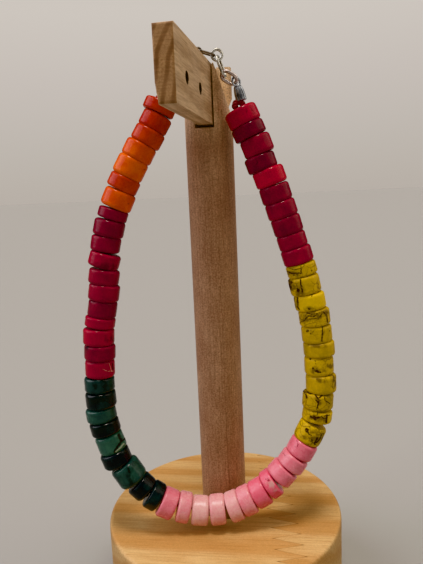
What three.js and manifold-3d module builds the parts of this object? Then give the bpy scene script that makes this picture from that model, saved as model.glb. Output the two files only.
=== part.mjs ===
// A bracelet of dyed stone disc beads, hung on a small wooden display stand.
// Millimetres, +Z up. The origin is the middle of the base's underside and the
// bracelet's loop faces -Y. Heights named "rise" are measured from the base's top.

import * as THREE from 'three';
import { mergeVertices } from 'three/addons/utils/BufferGeometryUtils.js';
import Module from 'manifold-3d';

const wasm = await Module();
wasm.setup();

// ---------------------------------------------------------------- driving dimensions

const GAP = 0.3; // left between pieces that touch

const BASE = { radius: 25.4, thick: 19, edge: 0.6, boreDeep: 12, sides: 48 };
const POST = { radius: 4.76, rise: 93.2, sides: 36 };
const ARM = { wide: 3.2, tall: 11.2, overhang: 25.4, turn: 12, wornWide: 0.4, wornTall: 3 };
const SLOT = { floorPlay: 0.6 };
const PIN_HOLE = { radius: 0.9, below: 6.35, fromEnd: 7, apart: 9.4, sides: 10 };

// The cheek beside the slot is split away at the front, down a slant, and notched behind.
const SPLIT = { topX: 1.2, footX: 4.9, footRise: 82.5, backY: -0.3 };
const NOTCH = { tipX: 3.9, tipRise: 85.5, lowRise: 82.6, highRise: 87.2 };

const BEAD = { edge: 0.35, hole: 0.8, sides: 14, runSides: 12, holeSides: 6 };
const RUN_CORE = { radius: 0.8, sides: 6 }; // joins the beads of a fused run
const THREAD = { radius: 0.2, sides: 6, step: 2.5 };

// The loop leans back: its lowest beads touch the post's front, its top is nearer the
// post's middle.
const LEAN = { lowY: -(POST.radius + GAP + 3.25), lowRise: 4.5, highY: -5.6, highRise: 93.2 };

// The thread's line, from the clasp down the left side, round the bottom and up to the
// chain: x across the loop, then rise above the base.
const ROUTE = [
  [-8.5, 86.6],
  [-13.6, 77.4],
  [-17.9, 68.8],
  [-20.9, 60],
  [-22.5, 47.5],
  [-23.9, 35.5],
  [-24.1, 26],
  [-21.7, 16.5],
  [-16.8, 10],
  [-11.5, 6.3],
  [-5, 4.5],
  [2, 4.9],
  [7.6, 8],
  [11.9, 11.7],
  [16, 16.8],
  [18.9, 23.8],
  [20.1, 34],
  [19.2, 44],
  [16.9, 53.5],
  [14.1, 62.3],
  [10.9, 71.6],
  [5.7, 84.5],
];
const ROUTE_START = 1.5; // from the route's first point to the middle of its first bead

// Metal findings and the cord's end loops all lie about one upright plane, FINDINGS_Y.
// Each place is [x, rise].
const FINDINGS_Y = -5.6;
const CORD_LOOP = { radius: 0.85, wire: 0.45, sweep: 200, steps: 10, sides: 8 };
const CRIMP = { radius: 1.03, waist: 0.88, groove: 0.25, edge: 0.2, sides: 14 };
const EYE = { radius: 0.76, wire: 0.14, lift: 0.6, steps: 12, sides: 6 };
const CLASP = { low: [-6.3, 91.3], high: [-1.55, 95.25], wide: 2.4, thick: 0.7 };

// loop: middle of the cord's arch; up: the way that the arch points; foot and top: ends of
// the crimp's barrel; eyeTurn: degrees that the crimp's eye is turned from face-on.
const ENDS = [
  {
    side: 'left',
    loop: [-8.62, 86.6],
    up: [0.51, 0.86],
    foot: [-7.95, 88.3],
    top: [-6.83, 90.29],
    eyeTurn: 90,
  },
  {
    side: 'right',
    loop: [5.72, 85],
    up: [-0.36, 0.93],
    foot: [6.05, 86.7],
    top: [5.5, 88.75],
    eyeTurn: 40,
  },
];

// Closed wire links. from and to: middles of the wire at the link's two ends; across:
// between the middles of its sides; turn: degrees that its plane is turned from face-on.
const LINKS = [
  { name: 'round_ring', from: [1.96, 93.21], to: [1.96, 95.25], across: 2.04, wire: 0.2, turn: 0 },
  { name: 'jump_ring', from: [1.5, 94.13], to: [-1.45, 95.3], across: 1.7, wire: 0.19, turn: 90 },
  { name: 'upper_link', from: [2.08, 93.88], to: [3.05, 90.7], across: 1.75, wire: 0.22, turn: 90 },
  { name: 'lower_link', from: [2.5, 91.35], to: [5.33, 89.35], across: 1.85, wire: 0.22, turn: 30 },
];
const LINK_STEPS = 14;
const LINK_SIDES = 6;

// The beads in their order on the thread. thick: along the thread; wide: diameter;
// aside: how far the disc sits off its hole, towards the inside of the loop;
// lean: degrees that its face is turned the same way.
// runs: how many neighbours are fused into each short run, where beads aren't single.
const STRAND = [
  {
    stone: 'orange',
    color: '#c8440d',
    beads: [
      { thick: 1.9, wide: 6.2, aside: 0.1, lean: 3 },
      { thick: 2.7, wide: 5.8, aside: 0.5, lean: -1 },
      { thick: 2.7, wide: 6, aside: 0.5, lean: -2 },
      { thick: 2.9, wide: 6.1, aside: 0.1, lean: -2 },
      { thick: 3.4, wide: 6.1, aside: -0.1, lean: -2 },
      { thick: 2.4, wide: 6.1, aside: -0.1, lean: -3 },
      { thick: 3.1, wide: 6.2, aside: 0, lean: -3 },
    ],
  },
  {
    stone: 'crimson',
    color: '#8c0b38',
    runs: [4, 4, 3],
    beads: [
      { thick: 1.7, wide: 5.9, aside: -0.1, lean: 1 },
      { thick: 2.8, wide: 6.1, aside: -0.1, lean: 3 },
      { thick: 2.6, wide: 5.9, aside: -0.1, lean: 1 },
      { thick: 2.5, wide: 6.2, aside: 0, lean: -10 },
      { thick: 2.6, wide: 6.1, aside: 0.1, lean: -5 },
      { thick: 2.9, wide: 6.2, aside: 0.2, lean: -5 },
      { thick: 3, wide: 5.8, aside: 0, lean: -4 },
      { thick: 1.7, wide: 6.1, aside: -0.3, lean: -3 },
      { thick: 2.9, wide: 6.3, aside: -0.4, lean: 3 },
      { thick: 2.7, wide: 6.3, aside: 0, lean: 3 },
      { thick: 3.1, wide: 6, aside: 0.1, lean: 2 },
    ],
  },
  {
    stone: 'green',
    color: '#17463b',
    beads: [
      { thick: 2.6, wide: 6.1, aside: 0, lean: 4 },
      { thick: 2.9, wide: 6.2, aside: 0.2, lean: 4 },
      { thick: 2.3, wide: 6.2, aside: -0.1, lean: 1 },
      { thick: 2.4, wide: 6.1, aside: 0.1, lean: 2 },
      { thick: 3.4, wide: 5.8, aside: 0.3, lean: 2 },
      { thick: 2.7, wide: 6.1, aside: 0, lean: -5 },
      { thick: 4, wide: 6.2, aside: 0.3, lean: -6 },
      { thick: 2.6, wide: 5.7, aside: 0.1, lean: -3 },
      { thick: 2.2, wide: 6.1, aside: 0, lean: 1 },
    ],
  },
  {
    stone: 'pink',
    color: '#e88592',
    beads: [
      { thick: 2.9, wide: 6.3, aside: -0.2, lean: -1 },
      { thick: 2.3, wide: 6.4, aside: 0, lean: 1 },
      { thick: 3.1, wide: 6.1, aside: -0.2, lean: 1 },
      { thick: 2.8, wide: 6.3, aside: 0, lean: 1 },
      { thick: 2.4, wide: 6.4, aside: 0.1, lean: 4 },
      { thick: 2.5, wide: 6.3, aside: 0.1, lean: -6 },
      { thick: 2.8, wide: 6.1, aside: -0.1, lean: -7 },
      { thick: 2, wide: 6.2, aside: 0, lean: -6 },
      { thick: 2.7, wide: 6, aside: 0.1, lean: 1 },
      { thick: 2.6, wide: 5.9, aside: 0, lean: 3 },
      { thick: 3, wide: 5.8, aside: 0, lean: 0 },
    ],
  },
  {
    stone: 'yellow',
    color: '#b8930f',
    runs: [1, 1, 1, 4, 4],
    beads: [
      { thick: 3.7, wide: 5.8, aside: -0.1, lean: -5 },
      { thick: 2.1, wide: 6.1, aside: -0.4, lean: 4 },
      { thick: 2.9, wide: 6.3, aside: 0, lean: 4 },
      { thick: 3.3, wide: 6.2, aside: -0.3, lean: 4 },
      { thick: 3.3, wide: 5.9, aside: 0.2, lean: 2 },
      { thick: 2.6, wide: 6.3, aside: 0, lean: 0 },
      { thick: 3, wide: 6.1, aside: 0.1, lean: -3 },
      { thick: 2.9, wide: 6.2, aside: 0, lean: -3 },
      { thick: 2.8, wide: 6.2, aside: 0.2, lean: -4 },
      { thick: 3.2, wide: 6.2, aside: 0.3, lean: -3 },
      { thick: 2.1, wide: 6, aside: 0, lean: -1 },
    ],
  },
  {
    stone: 'red',
    color: '#9a0620',
    beads: [
      { thick: 2.8, wide: 6.1, aside: 0, lean: -1 },
      { thick: 2.6, wide: 5.8, aside: 0, lean: -2 },
      { thick: 3.1, wide: 5.9, aside: -0.1, lean: -2 },
      { thick: 2.8, wide: 6, aside: -0.1, lean: -2 },
      { thick: 3, wide: 6, aside: -0.1, lean: -3 },
      { thick: 2.9, wide: 6.2, aside: -0.2, lean: -2 },
      { thick: 2.6, wide: 6, aside: 0.3, lean: -3 },
      { thick: 3.1, wide: 6, aside: -0.3, lean: -2 },
      { thick: 2.2, wide: 6.4, aside: 0, lean: 1 },
      { thick: 2.8, wide: 6.4, aside: 0, lean: 2 },
    ],
  },
];

const WOOD = { base: '#c79a5e', post: '#b98a68', arm: '#a5825c' };
const SILVER = '#c9c7c2';
const CORD_RED = '#5a0a12';

// ---------------------------------------------------------------- helpers

const { degToRad, lerp } = THREE.MathUtils;

function material(color, roughness, metalness = 0) {
  return new THREE.MeshStandardMaterial({ color, roughness, metalness });
}

function addMesh(parent, name, geometry, finish) {
  const mesh = new THREE.Mesh(geometry, finish);
  mesh.name = name;
  parent.add(mesh);
  return mesh;
}

// A geometry with its shared vertices merged and its empty triangles left out.
function welded(geometry) {
  const bare = geometry.clone();
  bare.deleteAttribute('normal');
  bare.deleteAttribute('uv');
  const merged = mergeVertices(bare, 1e-5);
  const kept = [];
  for (let i = 0; i < merged.index.count; i += 3) {
    const corners = [merged.index.getX(i), merged.index.getX(i + 1), merged.index.getX(i + 2)];
    if (new Set(corners).size === 3) kept.push(...corners);
  }
  merged.setIndex(kept);
  return merged;
}

function toSolid(geometry) {
  const merged = welded(geometry);
  const vertProperties = merged.attributes.position.array;
  const triVerts = Uint32Array.from(merged.index.array);
  return new wasm.Manifold(new wasm.Mesh({ numProp: 3, vertProperties, triVerts }));
}

function toGeometry(manifold) {
  const mesh = manifold.getMesh();
  const geometry = new THREE.BufferGeometry();
  geometry.setAttribute('position', new THREE.BufferAttribute(mesh.vertProperties, 3));
  geometry.setIndex(new THREE.BufferAttribute(mesh.triVerts, 1));
  return geometry;
}

// A turned solid about +Z, from corners of [radius, height] that start and end on the axis.
function turned(corners, sides) {
  const profile = corners.map(([radius, height]) => new THREE.Vector2(radius, height));
  return new THREE.LatheGeometry(profile, sides).rotateX(Math.PI / 2);
}

function rod(radius, length, sides) {
  return new THREE.CylinderGeometry(radius, radius, length, sides).rotateX(Math.PI / 2);
}

// A prism whose outline is given in x and z, and which runs from frontY to backY.
function prism(outline, frontY, backY) {
  const shape = new THREE.Shape(outline.map(([x, z]) => new THREE.Vector2(x, z)));
  const depth = backY - frontY;
  const geometry = new THREE.ExtrudeGeometry(shape, { depth, bevelEnabled: false });
  return geometry.rotateX(Math.PI / 2).translate(0, backY, 0);
}

function roundSection(radius, sides) {
  const corners = [];
  for (let i = 0; i < sides; i += 1) {
    const angle = (2 * Math.PI * i) / sides;
    corners.push(new THREE.Vector2(radius * Math.cos(angle), radius * Math.sin(angle)));
  }
  return new THREE.Shape(corners);
}

function tubeAlong(curve, radius, sides, steps) {
  const options = { steps, bevelEnabled: false, extrudePath: curve };
  return new THREE.ExtrudeGeometry(roundSection(radius, sides), options);
}

// A point of the findings' plane, from [x, rise].
function findingPoint([x, rise]) {
  return new THREE.Vector3(x, FINDINGS_Y, BASE.thick + rise);
}

// Turns a mesh or group so that its local Z runs along `up`, with its local Y about the
// world's Y, and then by `turn` degrees about that Z.
function aim(object, up, turn = 0) {
  const side = new THREE.Vector3(0, 1, 0).cross(up).normalize();
  const back = new THREE.Vector3().crossVectors(up, side);
  object.quaternion.setFromRotationMatrix(new THREE.Matrix4().makeBasis(side, back, up));
  object.rotateZ(degToRad(turn));
}

// ---------------------------------------------------------------- display stand

function baseGeometry() {
  const { radius, thick, edge, boreDeep } = BASE;
  const bore = POST.radius + GAP;
  const corners = [
    [0, 0],
    [radius - edge, 0],
    [radius, edge],
    [radius, thick - edge],
    [radius - edge, thick],
    [bore, thick],
    [bore, thick - boreDeep],
    [0, thick - boreDeep],
  ];
  return turned(corners, BASE.sides);
}

// The round post, slotted through its top for the arm, with the broken cheek's split and
// notch. Its foot stands in the base's bore.
function postGeometry() {
  const foot = BASE.thick - BASE.boreDeep + GAP;
  const top = BASE.thick + POST.rise;
  const past = POST.radius + 1;
  let post = toSolid(rod(POST.radius, top - foot, POST.sides).translate(0, 0, (top + foot) / 2));

  const slotWide = ARM.wide + 2 * GAP;
  const slotTall = ARM.tall + SLOT.floorPlay;
  const slot = new THREE.BoxGeometry(slotWide, 3 * past, 2 * slotTall);
  slot.rotateZ(-degToRad(ARM.turn)).translate(0, 0, top);

  const slope = (SPLIT.footX - SPLIT.topX) / (POST.rise - SPLIT.footRise);
  const split = prism(
    [
      [SPLIT.topX - slope, top + 1],
      [SPLIT.footX, BASE.thick + SPLIT.footRise],
      [past, BASE.thick + SPLIT.footRise],
      [past, top + 1],
    ],
    -past,
    SPLIT.backY,
  );

  const spread = (past - NOTCH.tipX) / (POST.radius - NOTCH.tipX);
  const notch = prism(
    [
      [NOTCH.tipX, BASE.thick + NOTCH.tipRise],
      [past, BASE.thick + lerp(NOTCH.tipRise, NOTCH.lowRise, spread)],
      [past, BASE.thick + lerp(NOTCH.tipRise, NOTCH.highRise, spread)],
    ],
    -past,
    past,
  );

  for (const cut of [slot, split, notch]) post = post.subtract(toSolid(cut));
  return toGeometry(post);
}

// The flat arm, lengthways along -Y before it is turned: its lower left edge is worn, and
// two pin holes run across it.
function armGeometry() {
  const half = ARM.wide / 2;
  const front = -(POST.radius + ARM.overhang);
  const outline = [
    [half, 0],
    [half, ARM.tall],
    [-half, ARM.tall],
    [-half, ARM.wornTall],
    [ARM.wornWide - half, 0],
  ];
  let arm = toSolid(prism(outline, front, POST.radius));
  for (let i = 0; i < 2; i += 1) {
    const hole = rod(PIN_HOLE.radius, 2 * ARM.wide, PIN_HOLE.sides).rotateY(Math.PI / 2);
    const y = front + PIN_HOLE.fromEnd + i * PIN_HOLE.apart;
    hole.translate(0, y, ARM.tall - PIN_HOLE.below);
    arm = arm.subtract(toSolid(hole));
  }
  return toGeometry(arm);
}

function buildStand() {
  const stand = new THREE.Group();
  addMesh(stand, 'base', baseGeometry(), material(WOOD.base, 0.6));
  addMesh(stand, 'post', postGeometry(), material(WOOD.post, 0.7));
  const arm = addMesh(stand, 'arm', armGeometry(), material(WOOD.arm, 0.75));
  arm.rotation.z = -degToRad(ARM.turn);
  arm.position.z = BASE.thick + POST.rise - ARM.tall;
  return stand;
}

// ---------------------------------------------------------------- beads and thread

function loopY(rise) {
  const share = (rise - LEAN.lowRise) / (LEAN.highRise - LEAN.lowRise);
  return lerp(LEAN.lowY, LEAN.highY, share);
}

const route = new THREE.CatmullRomCurve3(
  ROUTE.map(([x, rise]) => new THREE.Vector3(x, loopY(rise), BASE.thick + rise)),
);
route.arcLengthDivisions = 2000;
const routeLength = route.getLength();

// A stretch of the route, as a curve of its own.
class Stretch extends THREE.Curve {
  constructor(from, to) {
    super();
    this.from = from;
    this.to = to;
  }

  getPoint(share, target = new THREE.Vector3()) {
    return target.copy(route.getPointAt(lerp(this.from, this.to, share) / routeLength));
  }
}

// The matrix of a bead: local Z is its axis and local X points to the inside of the loop.
function beadMatrix(bead, distance) {
  const along = route.getTangentAt(distance / routeLength);
  const inward = new THREE.Vector3(0, -1, 0).cross(along).normalize();
  const back = new THREE.Vector3().crossVectors(along, inward);
  const matrix = new THREE.Matrix4().makeBasis(inward, back, along);
  matrix.multiply(new THREE.Matrix4().makeRotationY(degToRad(bead.lean)));
  const middle = route.getPointAt(distance / routeLength).addScaledVector(inward, bead.aside);
  return matrix.setPosition(middle);
}

function axisOf(matrix) {
  return new THREE.Vector3().setFromMatrixColumn(matrix, 2);
}

// Lays the whole strand along the route. Neighbours stand GAP apart, and further where
// their faces open like a wedge.
function layStrand() {
  const laid = [];
  let last = null;
  for (const { stone, beads } of STRAND) {
    for (const bead of beads) {
      let distance = ROUTE_START;
      let matrix = beadMatrix(bead, distance);
      if (last) {
        distance = last.distance + (last.bead.thick + bead.thick) / 2 + GAP;
        const wedge = axisOf(beadMatrix(bead, distance)).angleTo(axisOf(last.matrix));
        const reach = (Math.min(last.bead.wide, bead.wide) - BEAD.edge) / 2;
        distance += reach * Math.tan(wedge);
        matrix = beadMatrix(bead, distance);
      }
      last = { stone, bead, distance, matrix };
      laid.push(last);
    }
  }
  return laid;
}

// A disc with bevelled rims about +Z.
function discGeometry({ thick, wide }, sides) {
  const half = thick / 2;
  const radius = wide / 2;
  const corners = [
    [0, -half],
    [radius - BEAD.edge, -half],
    [radius, BEAD.edge - half],
    [radius, half - BEAD.edge],
    [radius - BEAD.edge, half],
    [0, half],
  ];
  return turned(corners, sides);
}

// One bead drilled for the thread, its hole off centre by the bead's `aside`.
function beadGeometry(bead) {
  const hole = rod(BEAD.hole, 2 * bead.thick, BEAD.holeSides).translate(-bead.aside, 0, 0);
  return toGeometry(toSolid(discGeometry(bead, BEAD.sides)).subtract(toSolid(hole)));
}

// A short run of neighbours, joined by a core along the thread's line.
function runGeometry(laid) {
  let run = null;
  for (const { bead, matrix } of laid) {
    const disc = toSolid(discGeometry(bead, BEAD.runSides)).transform(matrix.elements);
    run = run ? run.add(disc) : disc;
  }
  for (let i = 1; i < laid.length; i += 1) {
    const stretch = new Stretch(laid[i - 1].distance, laid[i].distance);
    run = run.add(toSolid(tubeAlong(stretch, RUN_CORE.radius, RUN_CORE.sides, 1)));
  }
  return toGeometry(run);
}

// A thread from the outer face of one bead to the outer face of another.
function threadGeometry(first, last) {
  const from = first.distance - first.bead.thick / 2;
  const to = last.distance + last.bead.thick / 2;
  const steps = Math.round((to - from) / THREAD.step);
  return tubeAlong(new Stretch(from, to), THREAD.radius, THREAD.sides, steps);
}

function buildStrand() {
  const strand = new THREE.Group();
  const laid = layStrand();
  const threaded = []; // lists of neighbours that share one thread
  let single = null;
  for (const { stone, color, beads, runs } of STRAND) {
    const finish = material(color, 0.35);
    const ofStone = laid.filter((item) => item.stone === stone);
    let next = 0;
    let runNumber = 0;
    for (const count of runs ?? beads.map(() => 1)) {
      const members = ofStone.slice(next, next + count);
      next += count;
      if (count > 1) {
        runNumber += 1;
        addMesh(strand, `run_${stone}_${runNumber}`, runGeometry(members), finish);
        single = null;
      } else {
        const bead = addMesh(strand, `bead_${stone}_${next}`, beadGeometry(members[0].bead), finish);
        bead.applyMatrix4(members[0].matrix);
        if (!single) {
          single = [];
          threaded.push(single);
        }
        single.push(members[0]);
      }
    }
  }
  const cord = material(CORD_RED, 0.9);
  threaded.forEach((members, i) => {
    addMesh(strand, `thread_${i + 1}`, threadGeometry(members[0], members.at(-1)), cord);
  });
  return strand;
}

// ---------------------------------------------------------------- findings

// An arc about local Y that bows towards local +Z.
class Bow extends THREE.Curve {
  constructor(radius, sweep) {
    super();
    this.radius = radius;
    this.sweep = sweep;
  }

  getPoint(share, target = new THREE.Vector3()) {
    const angle = (share - 0.5) * this.sweep;
    return target.set(this.radius * Math.sin(angle), 0, this.radius * Math.cos(angle));
  }
}

// A ring about local Y, drawn out along local Z where it is longer than it is wide.
function linkGeometry(long, across, wire) {
  const geometry = new THREE.TorusGeometry(across / 2, wire, LINK_SIDES, LINK_STEPS);
  geometry.rotateX(Math.PI / 2);
  const place = geometry.attributes.position;
  const stretch = (long - across) / 2;
  for (let i = 0; i < place.count; i += 1) {
    const z = place.getZ(i);
    if (Math.abs(z) > 1e-6) place.setZ(i, z + Math.sign(z) * stretch);
  }
  return geometry;
}

function eyeGeometry() {
  const ring = new THREE.TorusGeometry(EYE.radius, EYE.wire, EYE.sides, EYE.steps);
  return ring.rotateX(Math.PI / 2);
}

// A short barrel about +Z with a groove round its middle and an eye soldered on its top.
function crimpGeometry(long, eyeTurn) {
  const { radius, waist, groove, edge } = CRIMP;
  const corners = [
    [0, 0],
    [radius - edge, 0],
    [radius, edge],
    [radius, long / 2 - groove],
    [waist, long / 2],
    [radius, long / 2 + groove],
    [radius, long - edge],
    [radius - edge, long],
    [0, long],
  ];
  const eye = eyeGeometry().rotateZ(degToRad(eyeTurn)).translate(0, 0, long + EYE.lift);
  return toGeometry(toSolid(turned(corners, CRIMP.sides)).add(toSolid(eye)));
}

// A plain flat plate along local Z, its broad faces about local X, with an eye soldered
// to each end.
function claspGeometry(eyeToEye) {
  const radius = CLASP.wide / 2;
  const halfLong = eyeToEye / 2 - EYE.radius;
  const outline = new THREE.Shape();
  outline.moveTo(radius - halfLong, -radius);
  outline.lineTo(halfLong - radius, -radius);
  outline.absarc(halfLong - radius, 0, radius, -Math.PI / 2, Math.PI / 2);
  outline.lineTo(radius - halfLong, radius);
  outline.absarc(radius - halfLong, 0, radius, Math.PI / 2, 1.5 * Math.PI);
  const options = { depth: CLASP.thick, bevelEnabled: false, curveSegments: 8 };
  const plate = new THREE.ExtrudeGeometry(outline, options);
  plate.translate(0, 0, -CLASP.thick / 2).rotateY(-Math.PI / 2);
  let clasp = toSolid(plate);
  for (const end of [-1, 1]) {
    clasp = clasp.add(toSolid(eyeGeometry().translate(0, 0, (end * eyeToEye) / 2)));
  }
  return toGeometry(clasp);
}

// Puts a mesh with its origin midway between two places of the findings' plane, its local
// Z running from the first to the second.
function placeBetween(mesh, from, to, turn = 0) {
  const start = findingPoint(from);
  const end = findingPoint(to);
  mesh.position.lerpVectors(start, end, 0.5);
  aim(mesh, end.sub(start).normalize(), turn);
}

function span(from, to) {
  return findingPoint(from).distanceTo(findingPoint(to));
}

function buildFindings() {
  const findings = new THREE.Group();
  const silver = material(SILVER, 0.25, 1);
  const cord = material(CORD_RED, 0.9);
  for (const { side, loop, up, foot, top, eyeTurn } of ENDS) {
    const bow = new Bow(CORD_LOOP.radius, degToRad(CORD_LOOP.sweep));
    const arch = tubeAlong(bow, CORD_LOOP.wire, CORD_LOOP.sides, CORD_LOOP.steps);
    const cordLoop = addMesh(findings, `cord_loop_${side}`, arch, cord);
    cordLoop.position.copy(findingPoint(loop));
    aim(cordLoop, new THREE.Vector3(up[0], 0, up[1]).normalize());

    const crimp = addMesh(
      findings,
      `crimp_${side}`,
      crimpGeometry(span(foot, top), eyeTurn),
      silver,
    );
    placeBetween(crimp, foot, top);
    crimp.position.copy(findingPoint(foot));
  }
  for (const { name, from, to, across, wire, turn } of LINKS) {
    const link = addMesh(findings, name, linkGeometry(span(from, to), across, wire), silver);
    placeBetween(link, from, to, turn);
  }
  const clasp = addMesh(findings, 'clasp', claspGeometry(span(CLASP.low, CLASP.high)), silver);
  placeBetween(clasp, CLASP.low, CLASP.high);
  return findings;
}

// ---------------------------------------------------------------- the whole object

const display = new THREE.Group();
display.add(buildStand(), buildStrand(), buildFindings());

export default display;
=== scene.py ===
"""A bracelet of dyed stone disc beads, hung on a small wooden display stand.

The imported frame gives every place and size. Each sub-assembly is a class: the strand of
beads, the findings at its ends, and the stand. The studio holds the floor, the lights and
the camera.
"""

import enum
import logging
import math
from dataclasses import dataclass, field
from typing import Any, Iterable, Sequence

import bmesh
import bpy
import numpy as np
from mathutils import Matrix, Vector


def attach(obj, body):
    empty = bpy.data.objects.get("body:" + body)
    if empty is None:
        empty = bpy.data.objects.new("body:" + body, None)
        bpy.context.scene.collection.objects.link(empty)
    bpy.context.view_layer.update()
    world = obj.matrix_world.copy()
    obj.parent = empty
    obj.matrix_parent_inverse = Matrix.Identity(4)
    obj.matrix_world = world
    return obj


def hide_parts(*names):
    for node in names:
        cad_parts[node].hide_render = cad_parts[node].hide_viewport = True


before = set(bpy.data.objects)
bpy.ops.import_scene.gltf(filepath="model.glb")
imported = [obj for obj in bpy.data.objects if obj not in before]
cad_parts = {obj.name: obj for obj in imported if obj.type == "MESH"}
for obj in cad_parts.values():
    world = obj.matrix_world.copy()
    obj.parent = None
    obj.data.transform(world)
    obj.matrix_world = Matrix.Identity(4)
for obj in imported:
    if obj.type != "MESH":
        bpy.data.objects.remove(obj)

logging.basicConfig(level=logging.INFO, format="%(name)s: %(message)s")
LOG = logging.getLogger("bracelet")

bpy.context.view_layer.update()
MM = 0.001
ROOT = "root"
VIEWPOINT = (-0.84, -109.9, 87.9)
SAME_WAY = 0.99995
SAME_LEVEL_MM = 0.012


# --------------------------------------------------------------------------- helpers


def linear(code: str) -> tuple[float, float, float, float]:
    """Turns an sRGB hex colour into a linear one.

    Args:
        code: the colour, such as "#c8440d".

    Returns:
        Its linear red, green, blue and alpha.
    """
    parts = [int(code[i : i + 2], 16) / 255 for i in (1, 3, 5)]
    red, green, blue = (
        p / 12.92 if p <= 0.04045 else ((p + 0.055) / 1.055) ** 2.4 for p in parts
    )
    return red, green, blue, 1.0


def add_node(tree: Any, kind: str, inputs: dict[Any, Any] | None = None, **settings: Any) -> Any:
    """Adds a node to a tree, with its settings, values and links.

    Args:
        tree: the shader or geometry node tree.
        kind: the node's type name.
        inputs: a socket or a plain value for each input, by its name or index.
        settings: the node's own properties.

    Returns:
        The new node.
    """
    node = tree.nodes.new(kind)
    for name, value in settings.items():
        setattr(node, name, value)
    for key, value in (inputs or {}).items():
        socket = node.inputs[key]
        if isinstance(value, bpy.types.NodeSocket):
            tree.links.new(value, socket)
        else:
            socket.default_value = value
    return node


def result(tree: Any, kind: str, inputs: dict[Any, Any] | None = None, **settings: Any) -> Any:
    """Adds a node as add_node does and gives its first output."""
    return add_node(tree, kind, inputs, **settings).outputs[0]


def maths(tree: Any, operation: str, *values: Any) -> Any:
    """Gives the result of an operation on numbers."""
    return result(tree, "ShaderNodeMath", dict(enumerate(values)), operation=operation)


def vector_maths(tree: Any, operation: str, *values: Any, socket: Any = 0) -> Any:
    """Gives one output of an operation on vectors."""
    inputs = dict(enumerate(values))
    return add_node(tree, "ShaderNodeVectorMath", inputs, operation=operation).outputs[socket]


def scaled(tree: Any, vector: Any, factor: Any) -> Any:
    """Gives a vector times a number."""
    return result(tree, "ShaderNodeVectorMath", {0: vector, "Scale": factor}, operation="SCALE")


def ranged(
    tree: Any, value: Any, low: Any, high: Any, to_low: Any = 0, to_high: Any = 1, **settings: Any
) -> Any:
    """Maps a value from one range to another, and holds it at both ends.

    Args:
        tree: the shader or geometry node tree.
        value: the value to map.
        low: the value that becomes `to_low`.
        high: the value that becomes `to_high`.
        to_low: the result at `low`.
        to_high: the result at `high`.
        settings: the node's own properties.

    Returns:
        The mapped value.
    """
    inputs = {"Value": value, "From Min": low, "From Max": high, "To Min": to_low, "To Max": to_high}
    return result(tree, "ShaderNodeMapRange", inputs, **settings)


def noise(
    tree: Any, place: Any, size: float, detail: float, rough: float = 0.5, socket: str = "Fac"
) -> Any:
    """Gives cloudy noise.

    Args:
        tree: the shader or geometry node tree.
        place: where it is read.
        size: the size of its largest clouds, in the units of `place`.
        detail: how many finer layers it has.
        rough: how strong the finer layers are.
        socket: the output that is wanted.

    Returns:
        That output.
    """
    inputs = {"Vector": place, "Scale": 1 / size, "Detail": detail, "Roughness": rough}
    return add_node(tree, "ShaderNodeTexNoise", inputs).outputs[socket]


def spots(tree: Any, place: Any, size: float, **settings: Any) -> Any:
    """Gives the distance to the spots, or to the edges, of a cell pattern of that size."""
    inputs = {"Vector": place, "Scale": 1 / size}
    return add_node(tree, "ShaderNodeTexVoronoi", inputs, **settings).outputs["Distance"]


def mixed(tree: Any, share: Any, under: Any, over: Any, **settings: Any) -> Any:
    """Mixes one colour over another by a share."""
    inputs = {"Factor": share, 6: under, 7: over}
    return add_node(tree, "ShaderNodeMix", inputs, data_type="RGBA", **settings).outputs[2]


def attribute(tree: Any, name: str) -> Any:
    """Gives a level that the mesh holds under a name."""
    return add_node(tree, "ShaderNodeAttribute", attribute_name=name).outputs["Fac"]


def stretched(tree: Any, place: Any, scale: tuple[float, float, float]) -> Any:
    """Gives places multiplied by a scale along each axis."""
    return result(tree, "ShaderNodeMapping", {"Vector": place, "Scale": scale})


def new_material(name: str) -> tuple[bpy.types.Material, Any, Any]:
    """Starts a material.

    Args:
        name: the material's name.

    Returns:
        The material, its empty tree, and the places on the object.
    """
    material = bpy.data.materials.new(name)
    material.use_nodes = True
    tree = material.node_tree
    tree.nodes.clear()
    return material, tree, add_node(tree, "ShaderNodeTexCoord").outputs["Object"]


def surface(tree: Any, looks: dict[str, Any], height: Any, strength: float, deep: float) -> None:
    """Ends a material with its surface.

    Args:
        tree: the material's tree.
        looks: the colour, roughness and other inputs of the surface.
        height: the level of its fine relief.
        strength: how strongly the relief shades.
        deep: how deep the relief is, in mm.
    """
    relief = {"Height": height, "Strength": strength, "Distance": deep * MM}
    bump = result(tree, "ShaderNodeBump", relief)
    shader = result(tree, "ShaderNodeBsdfPrincipled", {**looks, "Normal": bump})
    add_node(tree, "ShaderNodeOutputMaterial", {"Surface": shader})


def make_piece(name: str, mesh: bpy.types.Mesh, replaced: Sequence[str]) -> bpy.types.Object:
    """Links a finished mesh as a piece of the object.

    Args:
        name: the piece's name.
        mesh: the mesh, with its place in its vertices.
        replaced: the CAD nodes that it stands for.

    Returns:
        The piece's object, which sits at the origin.
    """
    mesh.name = name
    piece = bpy.data.objects.new(name, mesh)
    bpy.context.scene.collection.objects.link(piece)
    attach(piece, ROOT)
    if replaced:
        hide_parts(*replaced)
    LOG.info("%s: %d faces, for %d CAD nodes", name, len(mesh.polygons), len(replaced))
    return piece


def vertex_places(mesh: bpy.types.Mesh) -> np.ndarray:
    """Reads where a mesh's vertices are.

    Args:
        mesh: the mesh.

    Returns:
        An array of (count, 3 coordinates).
    """
    places = np.empty(len(mesh.vertices) * 3)
    mesh.vertices.foreach_get("co", places)
    return places.reshape(-1, 3)


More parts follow.
